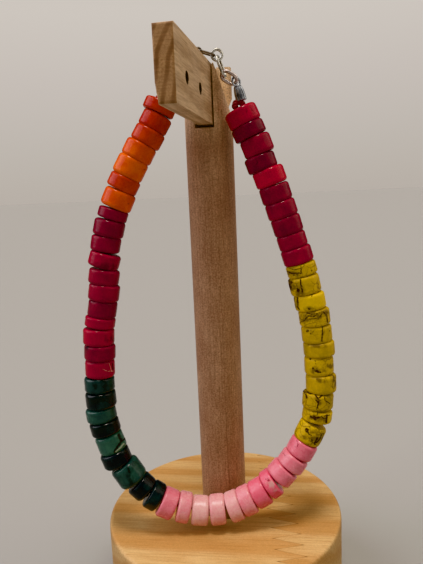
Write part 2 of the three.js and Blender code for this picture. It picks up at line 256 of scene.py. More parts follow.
def write_levels(mesh: bpy.types.Mesh, name: str, levels: np.ndarray) -> None:
    """Writes a level for each vertex as an attribute of the mesh."""
    layer = mesh.attributes.new(name, "FLOAT", "POINT")
    layer.data.foreach_set("value", levels.astype(np.float32))


def node_triangles(name: str) -> np.ndarray:
    """Reads the triangles of a CAD node.

    Args:
        name: the node.

    Returns:
        An array of (count, 3 corners, 3 coordinates).
    """
    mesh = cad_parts[name].data
    mesh.calc_loop_triangles()
    return vertex_places(mesh)[[tuple(t.vertices) for t in mesh.loop_triangles]]


def extruded(corners: Iterable[Sequence[float]], push: Sequence[float]) -> bmesh.types.BMesh:
    """Makes a closed form by pushing a flat face along a vector.

    Args:
        corners: the face's corners, in order.
        push: the vector.

    Returns:
        The form, with its normals outward.
    """
    form = bmesh.new()
    face = form.faces.new([form.verts.new(corner) for corner in corners])
    pushed = bmesh.ops.extrude_face_region(form, geom=[face])
    far = [v for v in pushed["geom"] if isinstance(v, bmesh.types.BMVert)]
    bmesh.ops.translate(form, verts=far, vec=push)
    bmesh.ops.recalc_face_normals(form, faces=form.faces)
    return form


def as_mesh(form: bmesh.types.BMesh) -> bpy.types.Mesh:
    """Turns an edited form into a mesh.

    Args:
        form: the form, which is freed.

    Returns:
        The mesh.
    """
    mesh = bpy.data.meshes.new("form")
    form.to_mesh(mesh)
    form.free()
    return mesh


@dataclass(frozen=True)
class Cap:
    """A flat face of a CAD node: its middle, its outward normal and its area."""

    middle: np.ndarray
    normal: np.ndarray
    area: float


def flat_faces(name: str, least_area: float) -> list[Cap]:
    """Finds the flat faces of a CAD node, the largest first.

    Args:
        name: the CAD node.
        least_area: the smallest area that counts, in square metres.

    Returns:
        One Cap for each flat face, its middle being the middle of its outline.
    """
    triangles = node_triangles(name)
    cross = np.cross(triangles[:, 1] - triangles[:, 0], triangles[:, 2] - triangles[:, 0])
    doubled = np.linalg.norm(cross, axis=1)
    kept = doubled > 1e-12
    triangles, cross, doubled = triangles[kept], cross[kept], doubled[kept]
    normals = cross / doubled[:, None]
    offsets = np.einsum("ij,ij->i", normals, triangles[:, 0])
    left = np.ones(len(normals), bool)
    caps: list[Cap] = []
    for seed in np.argsort(-doubled):
        if not left[seed]:
            continue
        same = left & (normals @ normals[seed] > SAME_WAY)
        same &= np.abs(offsets - offsets[seed]) < SAME_LEVEL_MM * MM
        left &= ~same
        area = doubled[same].sum() / 2
        if area < least_area:
            continue
        points = triangles[same].reshape(-1, 3)
        normal = Vector(normals[seed])
        across = normal.orthogonal().normalized()
        axes = np.array([across, normal.cross(across), normal])
        spread = points @ axes.T
        middle = (spread.min(0) + spread.max(0)) / 2
        caps.append(Cap(middle @ axes, np.array(normal), float(area)))
    return sorted(caps, key=lambda cap: -cap.area)


def oval_path(long: float, across: float, steps: int = 16) -> list[Vector]:
    """Gives a closed path about local Y: two half rings with straight sides between them.

    Args:
        long: its length along local Z, from middle of wire to middle of wire.
        across: its width along local X, likewise.
        steps: how many points each half ring has.

    Returns:
        The points, in the units of the sizes.
    """
    radius = across / 2
    stretch = (long - across) / 2
    points = []
    for end in (1, -1):
        for i in range(steps + 1):
            angle = math.pi * (i / steps)
            x = radius * math.cos(angle) * end
            z = (radius * math.sin(angle) + stretch) * end
            points.append(Vector((x, 0, z)))
    return points


def frame_along(up: Vector, turn: float, origin: Vector) -> Matrix:
    """Gives the place of a finding: local Z along `up`, then turned about it.

    Args:
        up: the direction of local Z.
        turn: the turn about local Z, in degrees.
        origin: where the local origin goes.

    Returns:
        The matrix from local places to the frame.
    """
    up = up.normalized()
    side = Vector((0, 1, 0)).cross(up).normalized()
    basis = Matrix((side, up.cross(side), up)).transposed().to_4x4()
    spin = Matrix.Rotation(math.radians(turn), 4, "Z")
    return Matrix.Translation(origin) @ basis @ spin


def moved(where: Matrix, points: Iterable[Vector]) -> list[Vector]:
    """Gives local points in the frame, and turns them from mm into metres."""
    return [(where @ point) * MM for point in points]


def path_object(points: Iterable[Vector], closed: bool) -> bpy.types.Object:
    """Makes a working object whose mesh is one line.

    Args:
        points: the line's points.
        closed: whether the last point joins the first.

    Returns:
        The working object.
    """
    corners = [tuple(p) for p in points]
    edges = [(i, i + 1) for i in range(len(corners) - 1)]
    if closed:
        edges.append((len(corners) - 1, 0))
    mesh = bpy.data.meshes.new("path")
    mesh.from_pydata(corners, edges, [])
    return working_object(mesh)


def working_object(mesh: bpy.types.Mesh) -> bpy.types.Object:
    """Links a mesh as a working object, which is taken away once it has been evaluated.

    Args:
        mesh: the mesh.

    Returns:
        The working object.
    """
    worker = bpy.data.objects.new("working", mesh)
    bpy.context.scene.collection.objects.link(worker)
    return worker


def settled(worker: bpy.types.Object, *tools: bpy.types.Object) -> bpy.types.Mesh:
    """Turns a working object with its modifiers into a plain mesh.

    Args:
        worker: the working object, which is removed.
        tools: the working objects that cut it, which are removed too.

    Returns:
        The plain mesh.
    """
    bpy.context.view_layer.update()
    graph = bpy.context.evaluated_depsgraph_get()
    mesh = bpy.data.meshes.new_from_object(
        worker.evaluated_get(graph), preserve_all_data_layers=True, depsgraph=graph
    )
    for spent in (worker, *tools):
        bpy.data.objects.remove(spent)
    return mesh


def grown(tree: Any, worker: bpy.types.Object, values: dict[str, Any]) -> bpy.types.Mesh:
    """Runs a geometry node tree on a working object and keeps the plain mesh.

    Args:
        tree: the geometry node tree.
        worker: the object that it starts from, which is removed.
        values: the tree's inputs, by their names.

    Returns:
        The evaluated mesh.
    """
    modifier = worker.modifiers.new("grown", "NODES")
    modifier.node_group = tree
    sockets = {s.name: s.identifier for s in tree.interface.items_tree if s.in_out == "INPUT"}
    for name, value in values.items():
        modifier[sockets[name]] = value
    return settled(worker)


def new_tree(name: str, numbers: str, counts: str) -> tuple[Any, Any]:
    """Starts a geometry node tree, which takes a geometry, a material and some numbers.

    Args:
        name: the tree's name.
        numbers: the names of the numbers that it takes.
        counts: the names of the whole numbers.

    Returns:
        The tree, and what it takes, by name.
    """
    tree = bpy.data.node_groups.new(name, "GeometryNodeTree")
    kinds = {"Geometry": "Geometry", "Material": "Material"}
    kinds |= dict.fromkeys(numbers.split(), "Float") | dict.fromkeys(counts.split(), "Int")
    for socket, kind in kinds.items():
        tree.interface.new_socket(socket, in_out="INPUT", socket_type=f"NodeSocket{kind}")
    tree.interface.new_socket("Geometry", in_out="OUTPUT", socket_type="NodeSocketGeometry")
    return tree, add_node(tree, "NodeGroupInput").outputs


def closed_tree(tree: Any, given: Any, form: Any) -> Any:
    """Ends a geometry node tree with a smooth form in the given material.

    Args:
        tree: the tree.
        given: what the tree takes, by name.
        form: the finished geometry.

    Returns:
        The tree.
    """
    smooth = result(tree, "GeometryNodeSetShadeSmooth", {"Geometry": form})
    inputs = {"Geometry": smooth, "Material": given["Material"]}
    add_node(tree, "NodeGroupOutput", {0: result(tree, "GeometryNodeSetMaterial", inputs)})
    return tree


def circle(tree: Any, sides: Any, radius: Any) -> Any:
    """Gives a round curve."""
    inputs = {"Resolution": sides, "Radius": radius}
    return result(tree, "GeometryNodeCurvePrimitiveCircle", inputs, mode="RADIUS")


def held(tree: Any, name: str) -> Any:
    """Gives the vector that each point holds under a name."""
    inputs = {"Name": name}
    return result(tree, "GeometryNodeInputNamedAttribute", inputs, data_type="FLOAT_VECTOR")


def joined(meshes: Iterable[bpy.types.Mesh]) -> bpy.types.Mesh:
    """Joins meshes into one, each with its materials, smooth faces and attributes.

    Args:
        meshes: the meshes.

    Returns:
        The joined mesh.
    """
    workers = [working_object(mesh) for mesh in meshes]
    with bpy.context.temp_override(
        active_object=workers[0], selected_editable_objects=workers, selected_objects=workers
    ):
        bpy.ops.object.join()
    return settled(workers[0])


def turned_mesh(profile: Sequence[tuple[float, float]], sides: int) -> bpy.types.Mesh:
    """Turns a profile about Z.

    Args:
        profile: radius and height of each corner, from the middle of the underside, out,
            up and back to the axis.
        sides: how many sides the turned form has.

    Returns:
        A closed mesh in the units of the profile.
    """
    rings = [(r, z) for r, z in profile if r > 0]
    corners = [
        (r * math.cos(2 * math.pi * i / sides), r * math.sin(2 * math.pi * i / sides), z)
        for r, z in rings
        for i in range(sides)
    ]
    faces = [
        (
            k * sides + i,
            k * sides + (i + 1) % sides,
            (k + 1) * sides + (i + 1) % sides,
            (k + 1) * sides + i,
        )
        for k in range(len(rings) - 1)
        for i in range(sides)
    ]
    low, high = len(corners), len(corners) + 1
    corners += [(0, 0, rings[0][1]), (0, 0, rings[-1][1])]
    last = (len(rings) - 1) * sides
    for i in range(sides):
        faces.append((low, (i + 1) % sides, i))
        faces.append((high, last + i, last + (i + 1) % sides))
    mesh = bpy.data.meshes.new("turned")
    mesh.from_pydata(corners, [], faces)
    mesh.shade_smooth()
    return mesh


def rounded_profile(
    corners: Sequence[tuple[float, float]], radii: Sequence[float], steps: int = 5
) -> list[tuple[float, float]]:
    """Rounds the corners of a profile.

    Args:
        corners: the profile's corners.
        radii: how far from each corner its rounding starts, or 0 to leave it sharp.
        steps: how many points each rounding has.

    Returns:
        The profile with its roundings.
    """
    rounded: list[tuple[float, float]] = []
    for i, (corner, radius) in enumerate(zip(corners, radii)):
        if radius <= 0:
            rounded.append(tuple(corner))
            continue
        here = Vector(corner)
        start = here + (Vector(corners[i - 1]) - here).normalized() * radius
        end = here + (Vector(corners[i + 1]) - here).normalized() * radius
        for k in range(steps + 1):
            t = k / steps
            place = start * (1 - t) ** 2 + here * (2 * t * (1 - t)) + end * t**2
            rounded.append((place.x, place.y))
    return rounded


# -------------------------------------------------------------------------- finishes


class Flaw(enum.Enum):
    """What a charted mark on a disc is, by the name of the attribute that holds it."""

    DARK = "dark_mark"
    PALE = "pale_mark"
    STAIN = "stain"


@dataclass(frozen=True)
class StoneFinish:
    """Dyed howlite: a soft white stone, soaked in dye, tumbled and waxed.

    The dye goes deeper where the stone is more porous, so the colour is mottled, and it
    gathers in the fine veins. The surface has a waxy gloss with small pits.
    """

    name: str
    deep: str
    body: str
    bright: str
    vein: str
    stain: str
    mottle: float = 0.35
    mottle_mm: float = 2.2
    vein_mm: float = 2.6
    vein_share: float = 0.3
    pit_mm: float = 0.7
    rough: float = 0.2
    gloss: float = 0.22
    grain: float = 0.15
    chalk: str = "#e6cfae"
    grit_mm: float = 0.35
    bend_mm: float = 1.1
    bend_by_mm: float = 0.9
    patch_mm: float = 3.5
    ragged_mm: float = 0.9
    vein_edge: tuple[float, float] = (0.012, 0.06)
    patch_edge: tuple[float, float] = (0.72, 0.75)
    pit_edge: tuple[float, float] = (0.06, 0.2)
    crack_edge: tuple[float, float] = (0.3, 0.62)
    stain_edge: tuple[float, float] = (0.15, 0.9)
    chalk_edge: tuple[float, float] = (0.75, 1.05)
    pit_share: float = 0.8
    stain_share: float = 0.8

    def material(self) -> bpy.types.Material:
        """Builds the material. It reads each disc's own shade and its charted flaws.

        Returns:
            The material.
        """
        material, tree, place = new_material(self.name)
        cloud = noise(tree, place, self.mottle_mm * MM, 5, rough=0.6)
        grit = noise(tree, place, self.grit_mm * MM, 3)
        dyed = self.dyed(tree, cloud, grit)
        flaws = self.flawed(tree, place, grit)
        lined = mixed(tree, flaws, self.stained(tree, place, dyed), linear(self.vein))
        chalk = maths(tree, "MULTIPLY_ADD", grit, 0.6, attribute(tree, Flaw.PALE.value))
        bare = ranged(tree, chalk, *self.chalk_edge)
        colour = mixed(tree, bare, lined, linear(self.chalk))

        dull = ranged(tree, cloud, 0, 1, self.rough - 0.08, self.rough + 0.14)
        gloss = maths(tree, "MULTIPLY_ADD", flaws, 0.4, dull)
        relief = maths(tree, "MULTIPLY_ADD", flaws, -1.4, grit)
        looks = {"Base Color": colour, "Roughness": gloss, "IOR": 1.53, "Specular IOR Level": self.gloss}
        surface(tree, looks, relief, 0.35, 0.05)
        return material

    def dyed(self, tree: Any, cloud: Any, grit: Any) -> Any:
        """Mottles the dye about each disc's own shade.

        Args:
            tree: the material's tree.
            cloud: the level of the broad clouds.
            grit: the level of the fine grain.

        Returns:
            The colour of the dyed stone.
        """
        swing = maths(tree, "SUBTRACT", cloud, 0.5)
        tone = maths(tree, "MULTIPLY_ADD", swing, 2 * self.mottle, attribute(tree, "shade"))
        speck = maths(tree, "SUBTRACT", grit, 0.5)
        tone = maths(tree, "MULTIPLY_ADD", speck, 2 * self.grain, tone)
        ramp = add_node(tree, "ShaderNodeValToRGB", {"Fac": tone})
        ramp.color_ramp.elements[0].color = linear(self.deep)
        ramp.color_ramp.elements[1].color = linear(self.bright)
        ramp.color_ramp.elements.new(0.5).color = linear(self.body)
        return ramp.outputs["Color"]

    def flawed(self, tree: Any, place: Any, grit: Any) -> Any:
        """Draws the dark flaws: veins and pits in patches, and the charted cracks.

        Args:
            tree: the material's tree.
            place: places on the stone.
            grit: the level of the fine grain.

        Returns:
            The level of the flaws.
        """
        warp = noise(tree, place, self.bend_mm * MM, 3, socket="Color")
        bent = vector_maths(tree, "MULTIPLY_ADD", warp, (self.bend_by_mm * MM,) * 3, place)
        cells = spots(tree, bent, self.vein_mm * MM, feature="DISTANCE_TO_EDGE")
        line = ranged(tree, cells, *self.vein_edge, 1, 0)
        patch = noise(tree, place, self.patch_mm * MM, 2)
        reach = maths(tree, "MULTIPLY", attribute(tree, "veined"), self.vein_share)
        low, high = self.patch_edge
        here = ranged(tree, patch, maths(tree, "SUBTRACT", low, reach), high)
        veins = maths(tree, "MULTIPLY", line, here)
        fleck = spots(tree, bent, self.pit_mm * MM)
        pits = maths(tree, "MULTIPLY", ranged(tree, fleck, *self.pit_edge, self.pit_share, 0), here)
        broken = maths(tree, "MULTIPLY_ADD", grit, 3.0, -0.5)
        marks = maths(tree, "MULTIPLY", attribute(tree, Flaw.DARK.value), broken)
        cracks = ranged(tree, marks, *self.crack_edge)
        return maths(tree, "MAXIMUM", maths(tree, "MAXIMUM", veins, cracks), pits)

    def stained(self, tree: Any, place: Any, under: Any) -> Any:
        """Adds the charted stains, with ragged edges.

        Args:
            tree: the material's tree.
            place: places on the stone.
            under: the colour underneath.

        Returns:
            The colour.
        """
        ragged = noise(tree, place, self.ragged_mm * MM, 5)
        ragged = maths(tree, "MULTIPLY_ADD", ragged, 5.0, -1.6)
        stain = maths(tree, "MULTIPLY", attribute(tree, Flaw.STAIN.value), ragged)
        soaked = ranged(tree, stain, *self.stain_edge, 0, self.stain_share)
        return mixed(tree, soaked, under, linear(self.stain))


@dataclass(frozen=True)
class FingerJoint:
    """Two boards glued end to end in a zigzag across the grain, in mm."""

    middle: float = 12.2
    reach: float = 2.9
    pitch: float = 3.45
    start: float = -0.75
    slant: float = -0.13
    glue: float = 0.09
    shift: tuple[float, float, float] = (0.05, 0.0037, 0.021)


@dataclass(frozen=True)
class GrainLine:
    """One long dark grain line on the front of a part: its place and its ends, in mm."""

    across: float
    low: float
    high: float
    wide: float = 0.12
    fade: float = 8.0
    wave: float = 5.0
    sway: float = 0.6


@dataclass(frozen=True)
class WoodFinish:
    """Bare softwood, planed, sawn or turned, and lightly sanded.

    Its growth rings give bands of pale early and darker late wood, its fibres give fine
    streaks along the grain, small pores show as short dark dashes, and handling has
    darkened it in clouds. Saw cuts leave fine lines across it.
    """

    name: str
    early: str
    late: str
    fibre: str
    cloud: str
    along: tuple[float, float, float]
    ring_mm: float
    fibre_mm: float = 0.45
    ring_strength: float = 0.6
    ring_low: float = 0.25
    sway: float = 1.6
    end_strength: float = 0.6
    end_tint: str = "#e6e6e6"
    fibre_share: float = 0.55
    # Paler colour above fresh_above: split wood at the post's top, made lighter still as painted light
    # where the cheeks face the light.
    fresh_and_lit: str = ""
    fresh_above: float = 0.0
    cloud_share: float = 0.5
    speckle: float = 0.3
    saw: float = 0.0
    rough: float = 0.55
    bump_mm: float = 0.04
    pith: tuple[float, float, float] = (0, 0, 0)
    haze_mm: float = 7.0
    grit_mm: float = 0.3
    saw_mm: float = 0.28
    fibre_stretch: float = 22.0
    pore_stretch: float = 7.0
    pore_size: float = 1.25
    drift: tuple[float, float, float] = (120, 120, 14)
    ring_wobble: float = 0.4
    end_edge: tuple[float, float] = (0.55, 0.85)
    fibre_edge: tuple[float, float] = (0.42, 0.72)
    pore_edge: tuple[float, float] = (0.08, 0.2)
    pore_share: float = 0.45
    haze_edge: tuple[float, float] = (0.38, 0.66)
    grit_edge: tuple[float, float] = (0.3, 0.7)
    saw_drawn: float = 300.0
    fresh_fade: float = 4.0
    glue: str = "#6e4a24"
    shadow: str = "#2a1c10"
    joint: FingerJoint | None = None
    line: GrainLine | None = None

    def material(self) -> bpy.types.Material:
        """Builds the material, its grain drawn out along the direction `along`.

        Returns:
            The material.
        """
        material, tree, place = new_material(self.name)
        glue = None
        if self.joint:
            place, glue = self.jointed(tree, place, self.joint)
        turn = Vector((0, 0, 1)).rotation_difference(Vector(self.along)).inverted().to_euler()
        laid = result(tree, "ShaderNodeMapping", {"Vector": place, "Rotation": tuple(turn)})
        banded = self.banded(tree, laid)
        # Partly painted light: the top fades to the paler colour of split wood, brightened further where
        # the cheeks face the light.
        if self.fresh_and_lit:
            rise = add_node(tree, "ShaderNodeSeparateXYZ", {0: place}).outputs[2]
            low, high = self.fresh_above - self.fresh_fade, self.fresh_above + self.fresh_fade
            level = ranged(tree, rise, low * MM, high * MM)
            banded = mixed(tree, level, banded, linear(self.fresh_and_lit))
        streak, pores, grained = self.grained(tree, laid, banded)
        colour, grit = self.worn(tree, place, grained)
        colour = self.shaded(tree, colour)
        if glue is not None:
            colour = mixed(tree, glue, colour, linear(self.glue))
        if self.line:
            colour = mixed(tree, self.lined(tree, place, self.line), colour, linear(self.fibre))

        dull = ranged(tree, streak, 0, 1, self.rough - 0.1, self.rough + 0.15)
        relief = maths(tree, "MULTIPLY_ADD", pores, -1.0, streak)
        relief = maths(tree, "MULTIPLY_ADD", grit, 0.6, relief)
        looks = {"Base Color": colour, "Roughness": dull, "IOR": 1.5, "Specular IOR Level": 0.35}
        surface(tree, looks, relief, 0.6, self.bump_mm)
        return material

    def banded(self, tree: Any, laid: Any) -> Any:
        """Colours the growth rings about the pith.

        Args:
            tree: the material's tree.
            laid: places with the grain along Z.

        Returns:
            The colour of the rings.
        """
        shifted = vector_maths(tree, "SUBTRACT", laid, self.pith)
        drift = stretched(tree, shifted, self.drift)
        sway = noise(tree, drift, 1, 2, socket="Color")
        swayed = vector_maths(
            tree, "MULTIPLY_ADD", sway, (self.sway * self.ring_mm * MM,) * 2 + (0,), shifted
        )
        rings = add_node(
            tree,
            "ShaderNodeTexWave",
            {
                "Vector": swayed,
                "Scale": math.pi / (10 * self.ring_mm * MM),
                "Distortion": self.ring_wobble,
                "Detail": 2,
                "Detail Scale": 1,
            },
            wave_type="RINGS",
            rings_direction="Z",
            wave_profile="SIN",
        ).outputs["Fac"]
        strength = self.at_ends(tree, self.ring_strength, self.end_strength)
        late = ranged(tree, rings, self.ring_low, 1, 0, strength, interpolation_type="SMOOTHSTEP")
        return mixed(tree, late, linear(self.early), linear(self.late))

    def at_ends(self, tree: Any, side: float, end: float) -> Any:
        """Gives a level that differs between the sides of a part and its end grain.

        Args:
            tree: the material's tree.
            side: the level on faces along the grain.
            end: the level on faces square across it.

        Returns:
            The level.
        """
        facing = add_node(tree, "ShaderNodeTexCoord").outputs["Normal"]
        square = vector_maths(tree, "DOT_PRODUCT", facing, self.along, socket="Value")
        return ranged(tree, maths(tree, "ABSOLUTE", square), *self.end_edge, side, end)

    def grained(self, tree: Any, laid: Any, under: Any) -> tuple[Any, Any, Any]:
        """Draws the fibres and the pores along the grain.

        Args:
            tree: the material's tree.
            laid: places with the grain along Z.
            under: the colour underneath.

        Returns:
            The level of the fibres, the level of the pores, and the colour.
        """
        fine = 1 / (self.fibre_mm * MM)
        drawn = stretched(tree, laid, (fine, fine, fine / self.fibre_stretch))
        streak = noise(tree, drawn, 1, 4, rough=0.65)
        share = ranged(tree, streak, *self.fibre_edge, 0, self.fibre_share)
        streaked = mixed(tree, share, under, linear(self.fibre))
        dashes = stretched(tree, laid, (fine, fine, fine / self.pore_stretch))
        pores = ranged(tree, spots(tree, dashes, self.pore_size), *self.pore_edge, self.pore_share, 0)
        return streak, pores, mixed(tree, pores, streaked, linear(self.fibre))

    def worn(self, tree: Any, place: Any, under: Any) -> tuple[Any, Any]:
        """Adds the handling clouds, the light and dark specks, and the saw lines.

        Args:
            tree: the material's tree.
            place: places on the part.
            under: the colour underneath.

        Returns:
            The colour, and the level of the grit.
        """
        haze = noise(tree, place, self.haze_mm * MM, 4)
        share = ranged(tree, haze, *self.haze_edge, 0, self.cloud_share)
        clouded = mixed(tree, share, under, linear(self.cloud))
        grit = noise(tree, place, self.grit_mm * MM, 3)
        cuts = stretched(tree, place, (self.saw_drawn, self.saw_drawn, 1 / (self.saw_mm * MM)))
        sawn = noise(tree, cuts, 1, 2)
        marks = result(tree, "ShaderNodeMix", {"Factor": min(self.saw, 1.0), 2: grit, 3: sawn})
        level = ranged(tree, marks, *self.grit_edge, 1 - self.speckle, 1 + self.speckle)
        return scaled(tree, clouded, level), marks

    def shaded(self, tree: Any, under: Any) -> Any:
        """Tints the end grain, and paints shade into the insides of holes, by their charted level.

        Args:
            tree: the material's tree.
            under: the colour underneath.

        Returns:
            The colour.
        """
        level = self.at_ends(tree, 0, 1)
        ended = mixed(tree, level, under, linear(self.end_tint), blend_type="MULTIPLY")
        # Painted shade: where the mesh charts a hole's inside, the colour turns to the dark shadow
        # colour.
        deep = attribute(tree, "painted_hole_shade")
        return mixed(tree, deep, ended, linear(self.shadow))

    @staticmethod
    def jointed(tree: Any, place: Any, joint: FingerJoint) -> tuple[Any, Any]:
        """Sets the wood beyond a finger joint apart, and draws the joint's glue line.

        Args:
            tree: the material's tree.
            place: places on the part.
            joint: the joint.

        Returns:
            Places that differ on the two sides of the joint, and the level of the glue.
        """
        parts = add_node(tree, "ShaderNodeSeparateXYZ", {0: place})
        along, across = parts.outputs[0], parts.outputs[1]
        slid = maths(tree, "MULTIPLY_ADD", along, -joint.slant, across)
        slid = maths(tree, "SUBTRACT", slid, joint.start * MM)
        zigzag = maths(tree, "PINGPONG", slid, joint.pitch / 2 * MM)
        steep = 4 * joint.reach / joint.pitch
        edge = maths(tree, "MULTIPLY_ADD", zigzag, steep, (joint.middle - joint.reach) * MM)
        past = maths(tree, "SUBTRACT", along, edge)
        near = maths(tree, "ABSOLUTE", past)
        width = joint.glue * MM * math.hypot(1, steep)
        glue = ranged(tree, near, width * 0.3, width, 1, 0)
        aside = maths(tree, "SUBTRACT", zigzag, joint.pitch / 4 * MM)
        aside = maths(tree, "ABSOLUTE", aside)
        tips = ranged(tree, aside, 0.17 * joint.pitch * MM, 0.24 * joint.pitch * MM, 0.4, 1)
        glue = maths(tree, "MULTIPLY", glue, tips)
        beyond = maths(tree, "GREATER_THAN", past, 0.0)
        shift = scaled(tree, joint.shift, beyond)
        return vector_maths(tree, "ADD", place, shift), glue

    @staticmethod
    def lined(tree: Any, place: Any, line: GrainLine) -> Any:
        """Draws one long grain line on the front.

        Args:
            tree: the material's tree.
            place: places on the part.
            line: the line.

        Returns:
            The level of the line.
        """
        parts = add_node(tree, "ShaderNodeSeparateXYZ", {0: place})
        away = maths(tree, "SUBTRACT", parts.outputs[0], line.across * MM)
        wave = result(
            tree,
            "ShaderNodeTexNoise",
            {"W": parts.outputs[2], "Scale": 1 / (line.wave * MM), "Detail": 2},
            noise_dimensions="1D",
        )
        swing = maths(tree, "MULTIPLY_ADD", wave, line.sway * MM, away)
        near = maths(tree, "SUBTRACT", swing, line.sway / 2 * MM)
        near = maths(tree, "ABSOLUTE", near)
        level = ranged(tree, near, 0, line.wide * MM, 0.55, 0)
        front = maths(tree, "LESS_THAN", parts.outputs[1], 0.0)
        upper = ranged(tree, parts.outputs[2], line.high * MM, (line.high - line.fade) * MM)
        lower = ranged(tree, parts.outputs[2], line.low * MM, (line.low + line.fade) * MM)
        for part in (front, upper, lower):
            level = maths(tree, "MULTIPLY", level, part)
        return level


@dataclass(frozen=True)
class SilverFinish:
    """Silver-plated brass: dulled by wear, tarnished in the hollows."""

    name: str = "silver_plated_brass"
    bright: str = "#d8d6cc"
    tarnish: str = "#7c766a"
    rough: float = 0.34

    def material(self) -> bpy.types.Material:
        """Builds the material, with fine handling scratches and cloudy tarnish.

        Returns:
            The material.
        """
        material, tree, place = new_material(self.name)
        cloud = noise(tree, place, 0.9 * MM, 4)
        share = ranged(tree, cloud, 0.45, 0.75)
        colour = mixed(tree, share, linear(self.bright), linear(self.tarnish))
        dull = ranged(tree, cloud, 0, 1, self.rough - 0.08, self.rough + 0.2)
        scratch = noise(tree, place, 0.12 * MM, 2)
        looks = {"Base Color": colour, "Metallic": 1.0, "Roughness": dull}
        surface(tree, looks, scratch, 0.15, 0.01)
        return material


class Metal(enum.Enum):
    """The states of the silver plate on the findings; one of them is darkened as painted shade."""

    PLAIN = SilverFinish()
    # DARK is plate darkened all over as painted shade, for the clasp and the jump ring that lie in shade
    # behind the arm's top edge.
    DARK = SilverFinish("shade_darkened_silver_plate", "#857c70", "#342c26", 0.4)
    WORN = SilverFinish("worn_silver_plate", "#dcd0ca", "#5c4442", 0.32)
    PRESSED = SilverFinish("pressed_silver_plate", "#bcc2c8", "#50555c", 0.34)


@dataclass(frozen=True)
class CordFinish:
    """Waxed polyester thread, dyed dark red: fine filaments with a soft sheen."""

    name: str = "waxed_polyester_thread"
    body: str = "#660816"
    high: str = "#a4182c"
    filament_mm: float = 0.06

    def material(self) -> bpy.types.Material:
        """Builds the material, its filaments drawn as fine noise.

        Returns:
            The material.
        """
        material, tree, place = new_material(self.name)
        fuzz = noise(tree, place, self.filament_mm * MM, 3)
        colour = mixed(tree, fuzz, linear(self.body), linear(self.high))
        looks = {"Base Color": colour, "Roughness": 0.6, "Sheen Weight": 0.3}
        surface(tree, looks, fuzz, 0.5, 0.03)
        return material


# ---------------------------------------------------------------------------- strand


class Stone(enum.Enum):
    """The colours of the discs, in the order of the thread."""

    ORANGE = "orange"
    CRIMSON = "crimson"
    GREEN = "green"
    PINK = "pink"
    YELLOW = "yellow"
    RED = "red"


@dataclass(frozen=True)
class Mark:
    """A mark on a disc: a line through places right of and above its middle, in mm."""

    disc: int
    flaw: Flaw
    places: tuple[tuple[float, float], ...]
    wide: float = 0.25

    def distance(self, spots: np.ndarray) -> np.ndarray:
        """Measures how far spots are from the mark's line.

        Args:
            spots: places right of and above the middle of the disc, in mm.

        Returns:
            The distance of each, in mm.
        """
        nearest = np.full(len(spots), np.inf)
        chain = self.places if len(self.places) > 1 else self.places * 2
        for start, end in zip(chain[:-1], chain[1:]):
            first, step = np.array(start), np.array(end) - np.array(start)
            share = ((spots - first) @ step) / max(step @ step, 1e-9)
            foot = first + np.clip(share, 0, 1)[:, None] * step
            nearest = np.minimum(nearest, np.linalg.norm(spots - foot, axis=1))
        return nearest


@dataclass(frozen=True)
class Band:
    """The neighbours of one colour: their nodes, shades, veins and charted marks."""

    stone: Stone
    nodes: tuple[str, ...]
    shades: tuple[float, ...]
    veined: tuple[float, ...]
    finish: StoneFinish
    marks: tuple[Mark, ...] = ()


@dataclass(eq=False)
class Disc:
    """One disc of the strand: its middle, the thread's direction through it, its size."""

    middle: np.ndarray
    axis: np.ndarray
    thick: float
    wide: float


def numbered(name: str, count: int) -> tuple[str, ...]:
    """Gives the names of nodes that are numbered from 1."""
    return tuple(f"{name}_{i + 1}" for i in range(count))


DARK, PALE, STAIN = Flaw

# The T-shaped chip in the last crimson disc shows the undyed stone.
CRIMSON_MARKS = (
    Mark(11, PALE, ((0.5, -0.45), (1.3, -0.9), (2.4, -1.05)), 0.07),
    Mark(11, PALE, ((1.8, 0.6), (2.1, -0.9)), 0.06),
    Mark(11, PALE, ((1.0, 0.4),), 0.08),
    Mark(11, DARK, ((2.4, 0.5), (2.45, -0.8)), 0.08),
    Mark(4, STAIN, ((-2.0, -1.1), (1.6, -1.5)), 0.4),
    Mark(9, STAIN, ((1.4, -0.8), (2.6, -1.0)), 0.4),
)
GREEN_MARKS = (
    Mark(1, STAIN, ((0.9, 1.1), (0.9, -1.2)), 0.35),
    Mark(1, STAIN, ((-0.9, 0.7), (-1.0, -1.0)), 0.25),
    Mark(2, STAIN, ((-2.0, 0.5), (0.8, -0.2)), 0.9),
    Mark(4, STAIN, ((-1.6, -0.4), (1.8, 0.5)), 0.7),
    Mark(5, DARK, ((1.6, 1.2), (2.05, -0.2), (1.3, -1.1), (0.6, -2.1)), 0.17),
    Mark(5, DARK, ((2.05, -0.2), (2.9, 0.2)), 0.13),
    Mark(5, PALE, ((2.5, -0.75), (1.7, -1.45), (0.8, -2.1)), 0.15),
    Mark(7, DARK, ((-0.2, 0.9), (0.1, -0.2)), 0.1),
    Mark(7, STAIN, ((0.1, 0.2), (0.2, -2.2)), 0.4),
)
PINK_MARKS = (
    Mark(8, STAIN, ((-0.4, 0.0), (0.5, -0.8)), 0.4),
    Mark(8, DARK, ((-1.1, 0.75), (-0.8, 0.45), (-0.4, 0.6), (-0.25, 0.3)), 0.055),
    Mark(8, DARK, ((-0.7, 0.8), (-0.5, 0.3)), 0.045),
    Mark(10, DARK, ((-1.9, 1.4), (-1.5, 1.0)), 0.055),
    Mark(11, DARK, ((-1.0, 1.5), (-0.7, 0.6), (-1.0, -0.2)), 0.05),
    Mark(11, DARK, ((-1.8, 0.4), (-1.2, 0.0)), 0.045),
)
